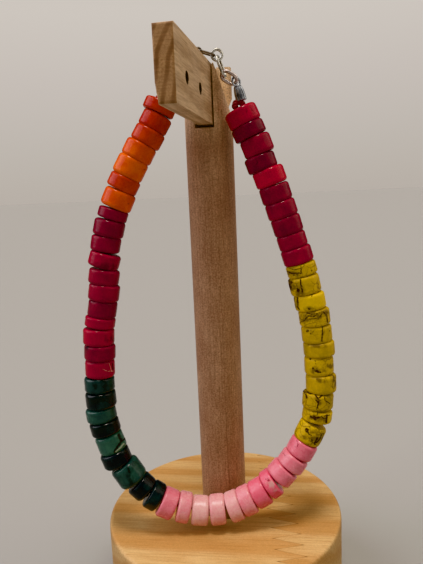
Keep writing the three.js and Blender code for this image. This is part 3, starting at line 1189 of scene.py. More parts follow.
YELLOW_MARKS = (
    Mark(1, DARK, ((-0.6, 0.3), (-0.5, 0.1)), 0.24),
    Mark(1, DARK, ((-0.5, 0.1), (-0.2, -0.6), (0.6, -1.0)), 0.07),
    Mark(1, DARK, ((1.4, -1.2), (0.8, -2.4)), 0.12),
    Mark(1, DARK, ((2.2, -0.6), (1.8, -1.6), (1.1, -2.1)), 0.1),
    Mark(1, DARK, ((0.3, -1.4), (0.5, -2.2)), 0.08),
    Mark(1, STAIN, ((0.2, -1.2), (1.9, -1.2)), 0.7),
    Mark(1, STAIN, ((-1.6, -0.9), (-0.9, -1.5)), 0.4),
    Mark(2, DARK, ((0.15, 1.4), (0.1, -0.2)), 0.06),
    Mark(2, DARK, ((-1.3, -0.6), (-0.5, -0.85), (0.3, -0.7)), 0.12),
    Mark(2, DARK, ((-0.6, -0.5), (-0.4, -1.1)), 0.16),
    Mark(2, DARK, ((0.3, -0.7), (0.9, -0.5), (1.3, -0.9), (1.9, -0.7)), 0.06),
    Mark(2, DARK, ((1.9, -0.2), (1.75, -1.6)), 0.12),
    Mark(2, DARK, ((1.3, -0.4), (2.4, -0.15)), 0.06),
    Mark(2, STAIN, ((-1.2, -0.9), (1.2, -1.0)), 0.4),
    Mark(3, DARK, ((-3.0, 1.8), (-2.35, 1.0), (-2.15, 0.2)), 0.12),
    Mark(3, DARK, ((-2.35, 1.4), (-1.55, 1.0), (-0.6, 1.0)), 0.08),
    Mark(3, DARK, ((-0.6, 1.0), (0.1, 0.0), (1.1, 1.0), (2.0, 0.95)), 0.09),
    Mark(3, DARK, ((-0.4, -0.2), (0.0, -0.6), (0.6, -0.2)), 0.07),
    Mark(3, DARK, ((0.1, -0.6), (-0.1, -1.75)), 0.1),
    Mark(3, DARK, ((1.3, 0.5), (1.4, -0.2), (2.3, -0.8)), 0.06),
    Mark(3, STAIN, ((-0.4, 0.3), (0.4, -0.8)), 0.2),
    Mark(4, STAIN, ((2.4, 1.1), (2.7, -0.7)), 0.35),
    Mark(4, STAIN, ((-1.4, 0.5), (0.6, 0.2)), 0.25),
    Mark(5, DARK, ((-1.65, 1.0),), 0.15),
    Mark(5, DARK, ((-1.15, -0.85), (-1.0, -1.0)), 0.13),
    Mark(5, DARK, ((-0.6, -1.35), (0.2, -1.6)), 0.15),
    Mark(5, DARK, ((-0.7, 0.7), (-0.6, -0.1)), 0.05),
    Mark(5, STAIN, ((-0.9, -1.2), (0.7, -1.5)), 0.4),
    Mark(5, STAIN, ((1.1, -0.5), (2.5, -0.3)), 0.3),
    Mark(6, STAIN, ((-1.8, 0.5), (1.2, 0.2)), 0.25),
    Mark(7, DARK, ((-1.75, 0.3),), 0.18),
    Mark(7, DARK, ((-1.2, -0.1), (-1.1, -0.25)), 0.08),
    Mark(7, DARK, ((1.1, 1.3), (1.1, -0.2), (0.98, -1.65)), 0.08),
    Mark(7, DARK, ((2.45, 0.4),), 0.09),
    Mark(7, STAIN, ((1.2, 0.6), (1.1, -1.4)), 0.2),
    Mark(8, DARK, ((-2.05, -0.9), (-1.1, 0.1), (-0.1, -0.1), (0.5, 0.5)), 0.08),
    Mark(8, DARK, ((-0.9, -0.5), (0.7, -0.5), (1.5, 0.5)), 0.07),
    Mark(8, DARK, ((1.7, 0.9), (2.3, 0.2), (2.5, -1.2)), 0.08),
    Mark(8, DARK, ((-1.4, 0.6), (-0.4, 0.4)), 0.06),
    Mark(8, STAIN, ((-1.8, -0.3), (2.4, 0.5)), 0.6),
    Mark(9, DARK, ((-2.4, 0.7), (-2.25, -0.1), (-2.35, -1.3), (-2.0, -1.7)), 0.1),
    Mark(9, DARK, ((0.5, 1.4), (0.4, 0.8)), 0.06),
    Mark(9, DARK, ((-0.2, -1.6),), 0.12),
    Mark(9, STAIN, ((-2.9, 0.1), (-2.7, -1.3)), 0.4),
    Mark(9, STAIN, ((-0.8, -1.6), (0.2, -1.5)), 0.25),
    Mark(10, DARK, ((-0.7, 1.6), (-0.72, 0.2), (-0.4, -1.45)), 0.11),
    Mark(10, DARK, ((-3.0, 0.7), (-2.5, 0.4)), 0.15),
    Mark(10, DARK, ((-2.95, 0.0), (-2.6, -0.8)), 0.16),
    Mark(10, DARK, ((-1.35, -1.0), (-1.2, -1.3)), 0.2),
    Mark(10, STAIN, ((-2.5, 0.3), (-1.9, -0.9), (-1.0, -1.4)), 0.6),
    Mark(10, STAIN, ((2.8, 0.0), (2.8, -0.5)), 0.3),
    Mark(11, DARK, ((-0.1, 0.4), (-0.15, -0.9)), 0.07),
    Mark(11, DARK, ((-2.7, -0.4), (-1.9, -0.85), (-0.4, -0.75)), 0.07),
    Mark(11, DARK, ((-2.4, 0.2), (-1.4, -0.1), (-0.2, 0.1)), 0.05),
    Mark(11, DARK, ((1.95, -0.4),), 0.1),
    Mark(11, STAIN, ((-2.4, -0.9), (-0.8, -1.0)), 0.35),
)

BANDS = (
    Band(
        Stone.ORANGE,
        numbered("bead_orange", 7),
        (0.1, 0.05, 0.2, 0.5, 0.6, 0.2, 0.5),
        (0.1, 0.1, 0.2, 0.1, 0.1, 0.4, 0.1),
        StoneFinish(
            "dyed_howlite_orange", "#a41a02", "#cc4a08", "#ec7e08", "#7a1c08", "#b82a06"
        ),
    ),
    Band(
        Stone.CRIMSON,
        numbered("run_crimson", 3),
        (0.25, 0.2, 0.25, 0.5, 0.35, 0.4, 0.15, 0.55, 0.6, 0.25, 0.55),
        (0.1, 0.1, 0.1, 0.2, 0.1, 0.1, 0.2, 0.1, 0.1, 0.2, 0.6),
        StoneFinish(
            "dyed_howlite_crimson", "#640220", "#900428", "#b0062c", "#30040e", "#5a0218",
            chalk="#cc9490",
        ),
        CRIMSON_MARKS,
    ),
    Band(
        Stone.GREEN,
        numbered("bead_green", 9),
        (0.38, 0.1, 0.58, 0.02, 0.9, 0.02, 0.6, 0.0, 0.05),
        (0.4, 0.5, 0.4, 0.6, 0.5, 0.3, 0.7, 0.3, 0.3),
        StoneFinish(
            "dyed_howlite_green", "#0b1317", "#263f3b", "#446758", "#020504", "#08130f",
            vein_share=0.5, rough=0.2, mottle=0.5, gloss=0.34, chalk="#8c9a84",
        ),
        GREEN_MARKS,
    ),
    Band(
        Stone.PINK,
        numbered("bead_pink", 11),
        (0.4, 0.62, 0.82, 0.72, 0.76, 0.56, 0.2, 0.05, 0.36, 0.45, 0.28),
        (0.1, 0.1, 0.05, 0.05, 0.05, 0.1, 0.1, 0.3, 0.1, 0.1, 0.2),
        StoneFinish(
            "dyed_howlite_pink", "#da5e74", "#dc838e", "#e2bcb4", "#9a2c3c", "#cca098",
            mottle=0.22, rough=0.24, gloss=0.45, grain=0.22,
        ),
        PINK_MARKS,
    ),
    Band(
        Stone.YELLOW,
        numbered("bead_yellow", 3) + numbered("run_yellow", 2),
        (0.55, 0.55, 0.36, 0.42, 0.5, 0.34, 0.42, 0.55, 0.82, 0.52, 0.48),
        (0.9, 0.5, 0.9, 0.35, 0.4, 0.2, 0.3, 1.0, 0.5, 0.6, 0.8),
        StoneFinish(
            "dyed_howlite_yellow", "#7c6808", "#be9b15", "#dcb81c", "#361806", "#5c4410",
            vein_mm=1.5, vein_share=0.5, rough=0.34, mottle=0.45,
        ),
        YELLOW_MARKS,
    ),
    Band(
        Stone.RED,
        numbered("bead_red", 10),
        (0.4, 0.32, 0.22, 0.32, 0.22, 0.8, 0.1, 0.4, 0.15, 0.65),
        (0.2, 0.1, 0.1, 0.1, 0.1, 0.2, 0.1, 0.1, 0.1, 0.3),
        StoneFinish(
            "dyed_howlite_red", "#5e001e", "#960228", "#c0042c", "#2a030a", "#500214"
        ),
    ),
)


@dataclass
class Strand:
    """The string of stone discs on its thread, one piece for each colour.

    The discs stand where the CAD solids do. Each is a little thicker than its solid, so
    that the gaps between neighbours are as fine as the real ones.
    """

    gap_filled: float = 0.46
    edge: float = 0.6
    hole: float = 0.7
    around: int = 112
    step: float = 0.17
    relief: float = 0.06
    nominal_wide: float = 6.0
    nominal_thick: float = 3.0
    seed: float = 7.0
    mark_spread: float = 2.8
    grazing: float = 0.05
    lump_mm: float = 1.6
    least_face_mm2: float = 9.0
    thinnest: float = 1.0
    thickest: float = 4.5
    opposed: float = 0.99
    off_axis: float = 0.8
    bands: tuple[Band, ...] = BANDS
    last: np.ndarray = field(default_factory=lambda: np.array((-8.5, -5, 105.6)) * MM)

    def disc_tree(self) -> Any:
        """Builds the tree that sets a rounded, drilled disc on every point.

        Returns:
            The tree.
        """
        tree, given = new_tree("stone_discs", "Wide Thick Hole Edge Step Relief Seed", "Around")
        wall = maths(tree, "SUBTRACT", given["Wide"], given["Hole"])
        wall = maths(tree, "MULTIPLY", wall, 0.5)
        mean = maths(tree, "ADD", given["Wide"], given["Hole"])
        mean = maths(tree, "MULTIPLY", mean, 0.25)
        section = result(
            tree,
            "GeometryNodeCurvePrimitiveQuadrilateral",
            {"Width": wall, "Height": given["Thick"]},
            mode="RECTANGLE",
        )
        section = result(
            tree,
            "GeometryNodeFilletCurve",
            {"Curve": section, "Radius": given["Edge"], "Count": 6},
            mode="POLY",
        )
        section = self.refined(tree, section, wall, given["Step"])
        ring = circle(tree, given["Around"], mean)
        ring = result(tree, "GeometryNodeSetCurveNormal", {"Curve": ring}, mode="Z_UP")
        disc = result(tree, "GeometryNodeCurveToMesh", {"Curve": ring, "Profile Curve": section})

        facing = {"Vector": held(tree, "axis")}
        facing = result(tree, "FunctionNodeAlignRotationToVector", facing, axis="Z")
        placed = {"Points": given["Geometry"], "Instance": disc, "Rotation": facing}
        placed |= {"Scale": held(tree, "size")}
        placed = result(tree, "GeometryNodeInstanceOnPoints", placed)
        real = result(tree, "GeometryNodeRealizeInstances", {"Geometry": placed})

        place = result(tree, "GeometryNodeInputPosition")
        normal = result(tree, "GeometryNodeInputNormal")
        lumps = result(
            tree,
            "ShaderNodeTexNoise",
            {"Vector": place, "W": given["Seed"], "Scale": 1 / (self.lump_mm * MM), "Detail": 4},
            noise_dimensions="4D",
        )
        height = ranged(tree, lumps, 0.25, 0.75, -1.0, 0.0)
        height = maths(tree, "MULTIPLY", height, given["Relief"])
        offset = scaled(tree, normal, height)
        shaped = result(tree, "GeometryNodeSetPosition", {"Geometry": real, "Offset": offset})
        return closed_tree(tree, given, shaped)

    @staticmethod
    def refined(tree: Any, section: Any, wall: Any, step: Any) -> Any:
        """Divides a disc's section: finely on its outer wall, coarsely elsewhere.

        Args:
            tree: the disc tree.
            section: the section's curve.
            wall: the section's width, from hole to rim.
            step: the length of an outer division.

        Returns:
            The divided curve.
        """
        place = result(tree, "GeometryNodeInputPosition")
        index = result(tree, "GeometryNodeInputIndex")
        size = add_node(
            tree, "GeometryNodeAttributeDomainSize", {"Geometry": section}, component="CURVE"
        )
        following = maths(tree, "ADD", index, 1.0)
        wrapped = maths(tree, "MODULO", following, size.outputs["Point Count"])
        further = result(
            tree,
            "GeometryNodeFieldAtIndex",
            {"Index": wrapped, "Value": place},
            data_type="FLOAT_VECTOR",
            domain="POINT",
        )
        length = vector_maths(tree, "DISTANCE", place, further, socket="Value")
        middle = vector_maths(tree, "ADD", place, further)
        outward = result(tree, "ShaderNodeSeparateXYZ", {0: middle})
        rim = maths(tree, "DIVIDE", outward, wall)
        pace = ranged(tree, rim, 0.9, 0.99, 0.35, 1.0)
        parts = maths(tree, "DIVIDE", length, step)
        cuts = maths(tree, "MULTIPLY_ADD", parts, pace, -1.0)
        return result(tree, "GeometryNodeSubdivideCurve", {"Curve": section, "Cuts": cuts})

    def partner(self, caps: list[Cap], cap: Cap, used: set[int]) -> tuple[int, float]:
        """Finds the flat face on the other side of a disc.

        Args:
            caps: the flat faces of the disc's node.
            cap: the one on this side.
            used: the numbers of those that are taken.

        Returns:
            The other one's number, or -1, and the disc's thickness.
        """
        best, gap = -1, self.thickest * MM
        for k, other in enumerate(caps):
            between = cap.middle - other.middle
            deep = float(between @ cap.normal)
            if k in used or other.normal @ cap.normal > -self.opposed or deep < self.thinnest * MM:
                continue
            aside = np.linalg.norm(between - deep * cap.normal)
            if aside < self.off_axis * MM and deep < gap:
                best, gap = k, deep
        return best, gap

    def discs_in(self, node: str) -> list[Disc]:
        """Finds the discs in one CAD node.

        Args:
            node: the node.

        Returns:
            Its discs, in no order.
        """
        caps = flat_faces(node, self.least_face_mm2 * MM**2)
        corners = node_triangles(node).reshape(-1, 3)
        found: list[Disc] = []
        used: set[int] = set()
        for i, cap in enumerate(caps):
            best, thick = self.partner(caps, cap, used)
            if i in used or best < 0:
                continue
            used |= {i, best}
            middle = (cap.middle + caps[best].middle) / 2
            away = corners - middle
            along = away @ cap.normal
            reach = np.linalg.norm(away - along[:, None] * cap.normal, axis=1)
            wide = 2 * float(reach[np.abs(along) < thick / 2].max())
            found.append(Disc(middle, cap.normal, thick, wide))
        return found

    def discs_of(self, band: Band) -> list[Disc]:
        """Finds the discs of a band.

        Args:
            band: the band.

        Returns:
            Its discs, in their order on the thread.
        """
        discs: list[Disc] = []
        for node in band.nodes:
            found = self.discs_in(node)
            while found:
                nearest = min(found, key=lambda disc: np.linalg.norm(disc.middle - self.last))
                found.remove(nearest)
                self.last = nearest.middle
                discs.append(nearest)
        if len(discs) != len(band.shades):
            raise ValueError(f"{band.stone}: {len(discs)} discs, {len(band.shades)} shades")
        return discs

    def chart(self, mesh: bpy.types.Mesh, discs: list[Disc], marks: Sequence[Mark]) -> None:
        """Writes the charted marks onto a band's mesh as attributes.

        Args:
            mesh: the band's mesh, with the number of its disc at each corner.
            discs: the band's discs.
            marks: the marks, as seen from in front.
        """
        places = vertex_places(mesh) / MM
        count = len(places)
        normals = np.empty(count * 3)
        numbers = np.empty(count, np.int32)
        mesh.vertex_normals.foreach_get("vector", normals)
        mesh.attributes["disc"].data.foreach_get("value", numbers)
        normals = normals.reshape(-1, 3)
        levels = {flaw: np.zeros(count) for flaw in Flaw}
        for mark in marks:
            middle = discs[mark.disc - 1].middle / MM
            sight = np.array(Vector(middle) - Vector(VIEWPOINT)).astype(float)
            sight /= np.linalg.norm(sight)
            right = np.cross(sight, (0, 0, 1))
            right /= np.linalg.norm(right)
            up = np.cross(right, sight)
            seen = (numbers == mark.disc - 1) & (normals @ sight < self.grazing)
            flat = np.stack([(places - middle) @ right, (places - middle) @ up], axis=1)[seen]
            level = np.clip(1 - mark.distance(flat) / (self.mark_spread * mark.wide), 0, 1)
            levels[mark.flaw][seen] = np.maximum(levels[mark.flaw][seen], level)
        for flaw, values in levels.items():
            write_levels(mesh, flaw.value, values)

    def build_band(self, band: Band, tree: Any) -> list[Disc]:
        """Builds one colour's discs as a piece.

        Args:
            band: the band.
            tree: the disc tree.

        Returns:
            The band's discs, in their order on the thread.
        """
        discs = self.discs_of(band)
        points = bpy.data.meshes.new("points")
        points.from_pydata([tuple(disc.middle) for disc in discs], [], [])
        columns: dict[str, tuple[str, list[Any]]] = {
            "shade": ("FLOAT", list(band.shades)),
            "veined": ("FLOAT", list(band.veined)),
            "disc": ("INT", list(range(len(discs)))),
            "axis": ("FLOAT_VECTOR", [tuple(disc.axis) for disc in discs]),
            "size": ("FLOAT_VECTOR", [self.scale_of(disc) for disc in discs]),
        }
        for name, (kind, values) in columns.items():
            layer = points.attributes.new(name, kind, "POINT")
            for item, value in zip(layer.data, values):
                setattr(item, "vector" if kind == "FLOAT_VECTOR" else "value", value)
        mesh = grown(
            tree,
            working_object(points),
            {
                "Wide": self.nominal_wide * MM,
                "Thick": self.nominal_thick * MM,
                "Hole": 2 * self.hole * MM,
                "Edge": self.edge * MM,
                "Around": self.around,
                "Step": self.step * MM,
                "Relief": self.relief * MM,
                "Seed": self.seed,
                "Material": band.finish.material(),
            },
        )
        self.chart(mesh, discs, band.marks)
        make_piece(f"{band.stone.value}_beads", mesh, band.nodes)
        return discs

    def scale_of(self, disc: Disc) -> tuple[float, float, float]:
        """Works out a disc's size as a share of the nominal one.

        Args:
            disc: the disc.

        Returns:
            Its scale along the three axes of the nominal disc.
        """
        wide = (disc.wide - 1.5 * self.relief * MM) / (self.nominal_wide * MM)
        thick = (disc.thick + self.gap_filled * MM) / (self.nominal_thick * MM)
        return wide, wide, thick

    def build(self) -> list[Disc]:
        """Builds every band.

        Returns:
            All the discs, in their order on the thread.
        """
        tree = self.disc_tree()
        discs: list[Disc] = []
        for band in self.bands:
            discs += self.build_band(band, tree)
        return discs


# --------------------------------------------------------------- cords and findings


def swept_tree() -> Any:
    """Builds the tree that sweeps round wire, or plies twisted together, along a line.

    Returns:
        The tree.
    """
    tree, given = new_tree("swept_wire", "Radius Apart Pitch Step", "Plies Sides")
    line = result(tree, "GeometryNodeMeshToCurve", {"Mesh": given["Geometry"]})
    line = result(
        tree, "GeometryNodeResampleCurve", {"Curve": line, "Length": given["Step"]}, mode="LENGTH"
    )
    copies = add_node(
        tree,
        "GeometryNodeDuplicateElements",
        {"Geometry": line, "Amount": given["Plies"]},
        domain="SPLINE",
    )
    number = copies.outputs["Duplicate Index"]
    along = add_node(tree, "GeometryNodeSplineParameter").outputs["Length"]
    turns = maths(tree, "DIVIDE", along, given["Pitch"])
    share = maths(tree, "DIVIDE", number, given["Plies"])
    turns = maths(tree, "ADD", turns, share)
    angle = maths(tree, "MULTIPLY", turns, 2 * math.pi)
    normal = result(tree, "GeometryNodeInputNormal")
    tangent = result(tree, "GeometryNodeInputTangent")
    side = result(
        tree,
        "ShaderNodeVectorRotate",
        {"Vector": normal, "Axis": tangent, "Angle": angle},
        rotation_type="AXIS_ANGLE",
    )
    offset = scaled(tree, side, given["Apart"])
    plies = result(
        tree, "GeometryNodeSetPosition", {"Geometry": copies.outputs[0], "Offset": offset}
    )
    section = circle(tree, given["Sides"], given["Radius"])
    tube = {"Curve": plies, "Profile Curve": section, "Fill Caps": True}
    return closed_tree(tree, given, result(tree, "GeometryNodeCurveToMesh", tube))


@dataclass(frozen=True)
class Wire:
    """What the swept tree needs for one wire or cord, in mm."""

    radius: float
    plies: int = 1
    apart: float = 0.0
    pitch: float = 1.0
    step: float = 0.12
    sides: int = 16

    def swept(
        self, tree: Any, points: Iterable[Vector], closed: bool, finish: bpy.types.Material
    ) -> bpy.types.Mesh:
        """Sweeps the wire along a line.

        Args:
            tree: the swept tree.
            points: the line's points, in metres.
            closed: whether the line closes on itself.
            finish: the wire's material.

        Returns:
            The plain mesh.
        """
        values = {
            "Radius": self.radius * MM,
            "Plies": self.plies,
            "Apart": self.apart * MM,
            "Pitch": self.pitch * MM,
            "Step": self.step * MM,
            "Sides": self.sides,
            "Material": finish,
        }
        return grown(tree, path_object(points, closed), values)


@dataclass(frozen=True)
class Link:
    """A closed wire link: where its ends are, its width and how its plane is turned."""

    name: str
    start: tuple[float, float]
    end: tuple[float, float]
    across: float
    wire: float
    turn: float
    metal: Metal = Metal.PLAIN


class Side(enum.Enum):
    """The two sides, as seen from in front."""

    LEFT = "left"
    RIGHT = "right"


@dataclass(frozen=True)
class CordEnd:
    """One end of the thread: its loop, and the crimp that grips it."""

    side: Side
    loop: tuple[float, float]
    up: tuple[float, float]
    foot: tuple[float, float]
    top: tuple[float, float]
    eye_turn: float


@dataclass
class Findings:
    """The silver findings and the cord's end loops, about one upright plane."""

    plane: float = -5.6
    base_top: float = 19.0
    twine: Wire = Wire(0.17, plies=2, apart=0.14, pitch=1.1, step=0.15, sides=8)
    loop_radius: float = 0.74
    loop_wire: float = 0.62
    loop_sweep: float = 200.0
    ply_share: float = 0.52
    ply_apart_share: float = 0.46
    crimp_radius: float = 1.02
    crimp_top: float = 0.6
    crimp_drop: float = 0.9
    crimp_folds: int = 6
    crimp_fold_deep: float = 0.2
    crimp_fold_sharp: int = 8
    crimp_sides: int = 120
    crimp_rounding: tuple[float, ...] = (0, 0.22, 0.9, 0.5, 0)
    eye_radius: float = 0.8
    eye_wire: float = 0.2
    eye_lift: float = 0.62
    clasp_low: tuple[float, float] = (-6.14, 91.5)
    clasp_high: tuple[float, float] = (-1.5, 95.05)
    clasp_wide: float = 2.4
    clasp_thick: float = 0.7
    clasp_eye: float = 0.55
    clasp_rim: float = 0.18
    links: tuple[Link, ...] = (
        Link("round_ring", (1.96, 93.26), (1.96, 95.16), 1.9, 0.27, 0),
        Link("jump_ring", (1.5, 94.13), (-1.45, 95.08), 1.4, 0.19, 90, Metal.DARK),
        Link("upper_link", (2.0, 93.97), (3.28, 90.35), 1.89, 0.25, 110),
        Link("lower_link", (2.79, 90.9), (5.36, 89.28), 2.0, 0.34, 45, Metal.WORN),
    )
    ends: tuple[CordEnd, ...] = (
        CordEnd(Side.LEFT, (-8.62, 86.6), (0.51, 0.86), (-7.95, 88.3), (-6.83, 90.29), 90),
        CordEnd(Side.RIGHT, (5.72, 85.0), (-0.36, 0.93), (6.05, 86.7), (5.5, 88.75), 24),
    )

    def place(self, spot: tuple[float, float]) -> Vector:
        """Gives a place of the findings' plane in the frame, in mm."""
        return Vector((spot[0], self.plane, self.base_top + spot[1]))

    def eye(
        self, tree: Any, where: Matrix, radius: float, finish: bpy.types.Material
    ) -> bpy.types.Mesh:
        """Builds one soldered eye about the local Y of a place."""
        points = moved(where, oval_path(2 * radius, 2 * radius))
        return Wire(self.eye_wire).swept(tree, points, True, finish)

    def build_link(self, link: Link, tree: Any, finish: bpy.types.Material) -> None:
        """Builds one closed link.

        Args:
            link: the link.
            tree: the swept tree.
            finish: the link's material.
        """
        start, end = self.place(link.start), self.place(link.end)
        where = frame_along(end - start, link.turn, (start + end) / 2)
        points = moved(where, oval_path((end - start).length, link.across))
        mesh = Wire(link.wire).swept(tree, points, True, finish)
        make_piece(f"{link.name}_wire", mesh, [link.name])

    def build_end(
        self, end: CordEnd, tree: Any, finish: bpy.types.Material, cord: bpy.types.Material
    ) -> None:
        """Builds the loop of cord and the crimp at one end of the thread.

        Args:
            end: the end.
            tree: the swept tree.
            finish: the crimp's material.
            cord: the cord's material.
        """
        side = end.side.value
        mesh = self.bow(end, tree, cord)
        make_piece(f"cord_arch_{side}", mesh, [f"cord_loop_{side}"])
        mesh = self.crimp(end, tree, finish)
        make_piece(f"crimp_{side}_barrel", mesh, [f"crimp_{side}"])

    def bow(self, end: CordEnd, tree: Any, cord: bpy.types.Material) -> bpy.types.Mesh:
        """Twists the loop of cord at one end of the thread.

        Args:
            end: the end.
            tree: the swept tree.
            cord: the cord's material.

        Returns:
            The loop's mesh.
        """
        where = frame_along(Vector((end.up[0], 0, end.up[1])), 0, self.place(end.loop))
        reach = math.radians(self.loop_sweep) / 2
        bow = [
            Vector((math.sin(a) * self.loop_radius, 0, math.cos(a) * self.loop_radius))
            for a in np.linspace(-reach, reach, 25)
        ]
        apart = self.loop_wire * self.ply_apart_share
        ply = Wire(self.loop_wire * self.ply_share, plies=3, apart=apart, pitch=1.5, step=0.06)
        return ply.swept(tree, moved(where, bow), False, cord)

    def crimp(self, end: CordEnd, tree: Any, finish: bpy.types.Material) -> bpy.types.Mesh:
        """Turns and presses the crimp at one end of the thread, with its soldered eye.

        Args:
            end: the end.
            tree: the swept tree.
            finish: the crimp's material.

        Returns:
            The crimp's mesh.
        """
        foot, top = self.place(end.foot), self.place(end.top)
        long = (top - foot).length
        corners = [
            (0.0, -self.crimp_drop),
            (self.crimp_radius, -self.crimp_drop),
            (self.crimp_radius, long / 2),
            (self.crimp_top, long),
            (0.0, long),
        ]
        barrel = turned_mesh(rounded_profile(corners, self.crimp_rounding), self.crimp_sides)
        self.pinch(barrel)
        barrel.transform(Matrix.Scale(MM, 4) @ frame_along(top - foot, 0, foot))
        barrel.materials.append(finish)
        lifted = Matrix.Translation((0, 0, long + self.eye_lift))
        spun = frame_along(top - foot, end.eye_turn, foot) @ lifted
        return joined([barrel, self.eye(tree, spun, self.eye_radius, finish)])

    def pinch(self, barrel: bpy.types.Mesh) -> None:
        """Presses the folds into a crimp.

        Args:
            barrel: the crimp's barrel, which stands along Z.
        """
        for corner in barrel.vertices:
            turn = math.atan2(corner.co.y, corner.co.x) * self.crimp_folds
            press = max(0.0, math.cos(turn)) ** self.crimp_fold_sharp
            share = 1 - self.crimp_fold_deep * press
            corner.co.x *= share
            corner.co.y *= share

    def build_clasp(self, tree: Any, finish: bpy.types.Material) -> None:
        """Builds the plain clasp: a plate with softened edges and an eye at each end.

        Args:
            tree: the swept tree.
            finish: the clasp's material.
        """
        low, high = self.place(self.clasp_low), self.place(self.clasp_high)
        span = (high - low).length
        where = frame_along(high - low, 0, (low + high) / 2)
        outline = oval_path(span - 2 * self.eye_radius, self.clasp_wide, 20)
        thick = self.clasp_thick
        form = extruded([(-thick / 2, p.x, p.z) for p in outline], (thick, 0, 0))
        rims = [e for e in form.edges if e.calc_face_angle(0) > 1.0]
        rim = self.clasp_rim
        bmesh.ops.bevel(form, geom=rims, offset=rim, segments=4, profile=0.6, affect="EDGES")
        plate = as_mesh(form)
        plate.shade_smooth()
        plate.transform(Matrix.Scale(MM, 4) @ where)
        plate.materials.append(finish)
        eyes = [
            self.eye(tree, where @ Matrix.Translation((0, 0, side * span / 2)), self.clasp_eye, finish)
            for side in (-1, 1)
        ]
        make_piece("clasp_plate", joined([plate, *eyes]), ["clasp"])

    def build(self, thread: Sequence[Disc]) -> None:
        """Builds the thread through the discs, its end loops, and all of the metal.

        Args:
            thread: the discs, in their order on the thread.
        """
        tree = swept_tree()
        metals = {metal: metal.value.material() for metal in Metal}
        cord = CordFinish().material()
        line = [Vector(disc.middle) for disc in thread]
        line = [line[0] * 1.5 - line[1] * 0.5, *line, line[-1] * 1.5 - line[-2] * 0.5]
        mesh = self.twine.swept(tree, line, False, cord)
        make_piece("thread_twine", mesh, ["thread_1", "thread_2", "thread_3"])
        for link in self.links:
            self.build_link(link, tree, metals[link.metal])
        for end in self.ends:
            self.build_end(end, tree, metals[Metal.PRESSED], cord)
        self.build_clasp(tree, metals[Metal.DARK])


# ----------------------------------------------------------------------------- stand


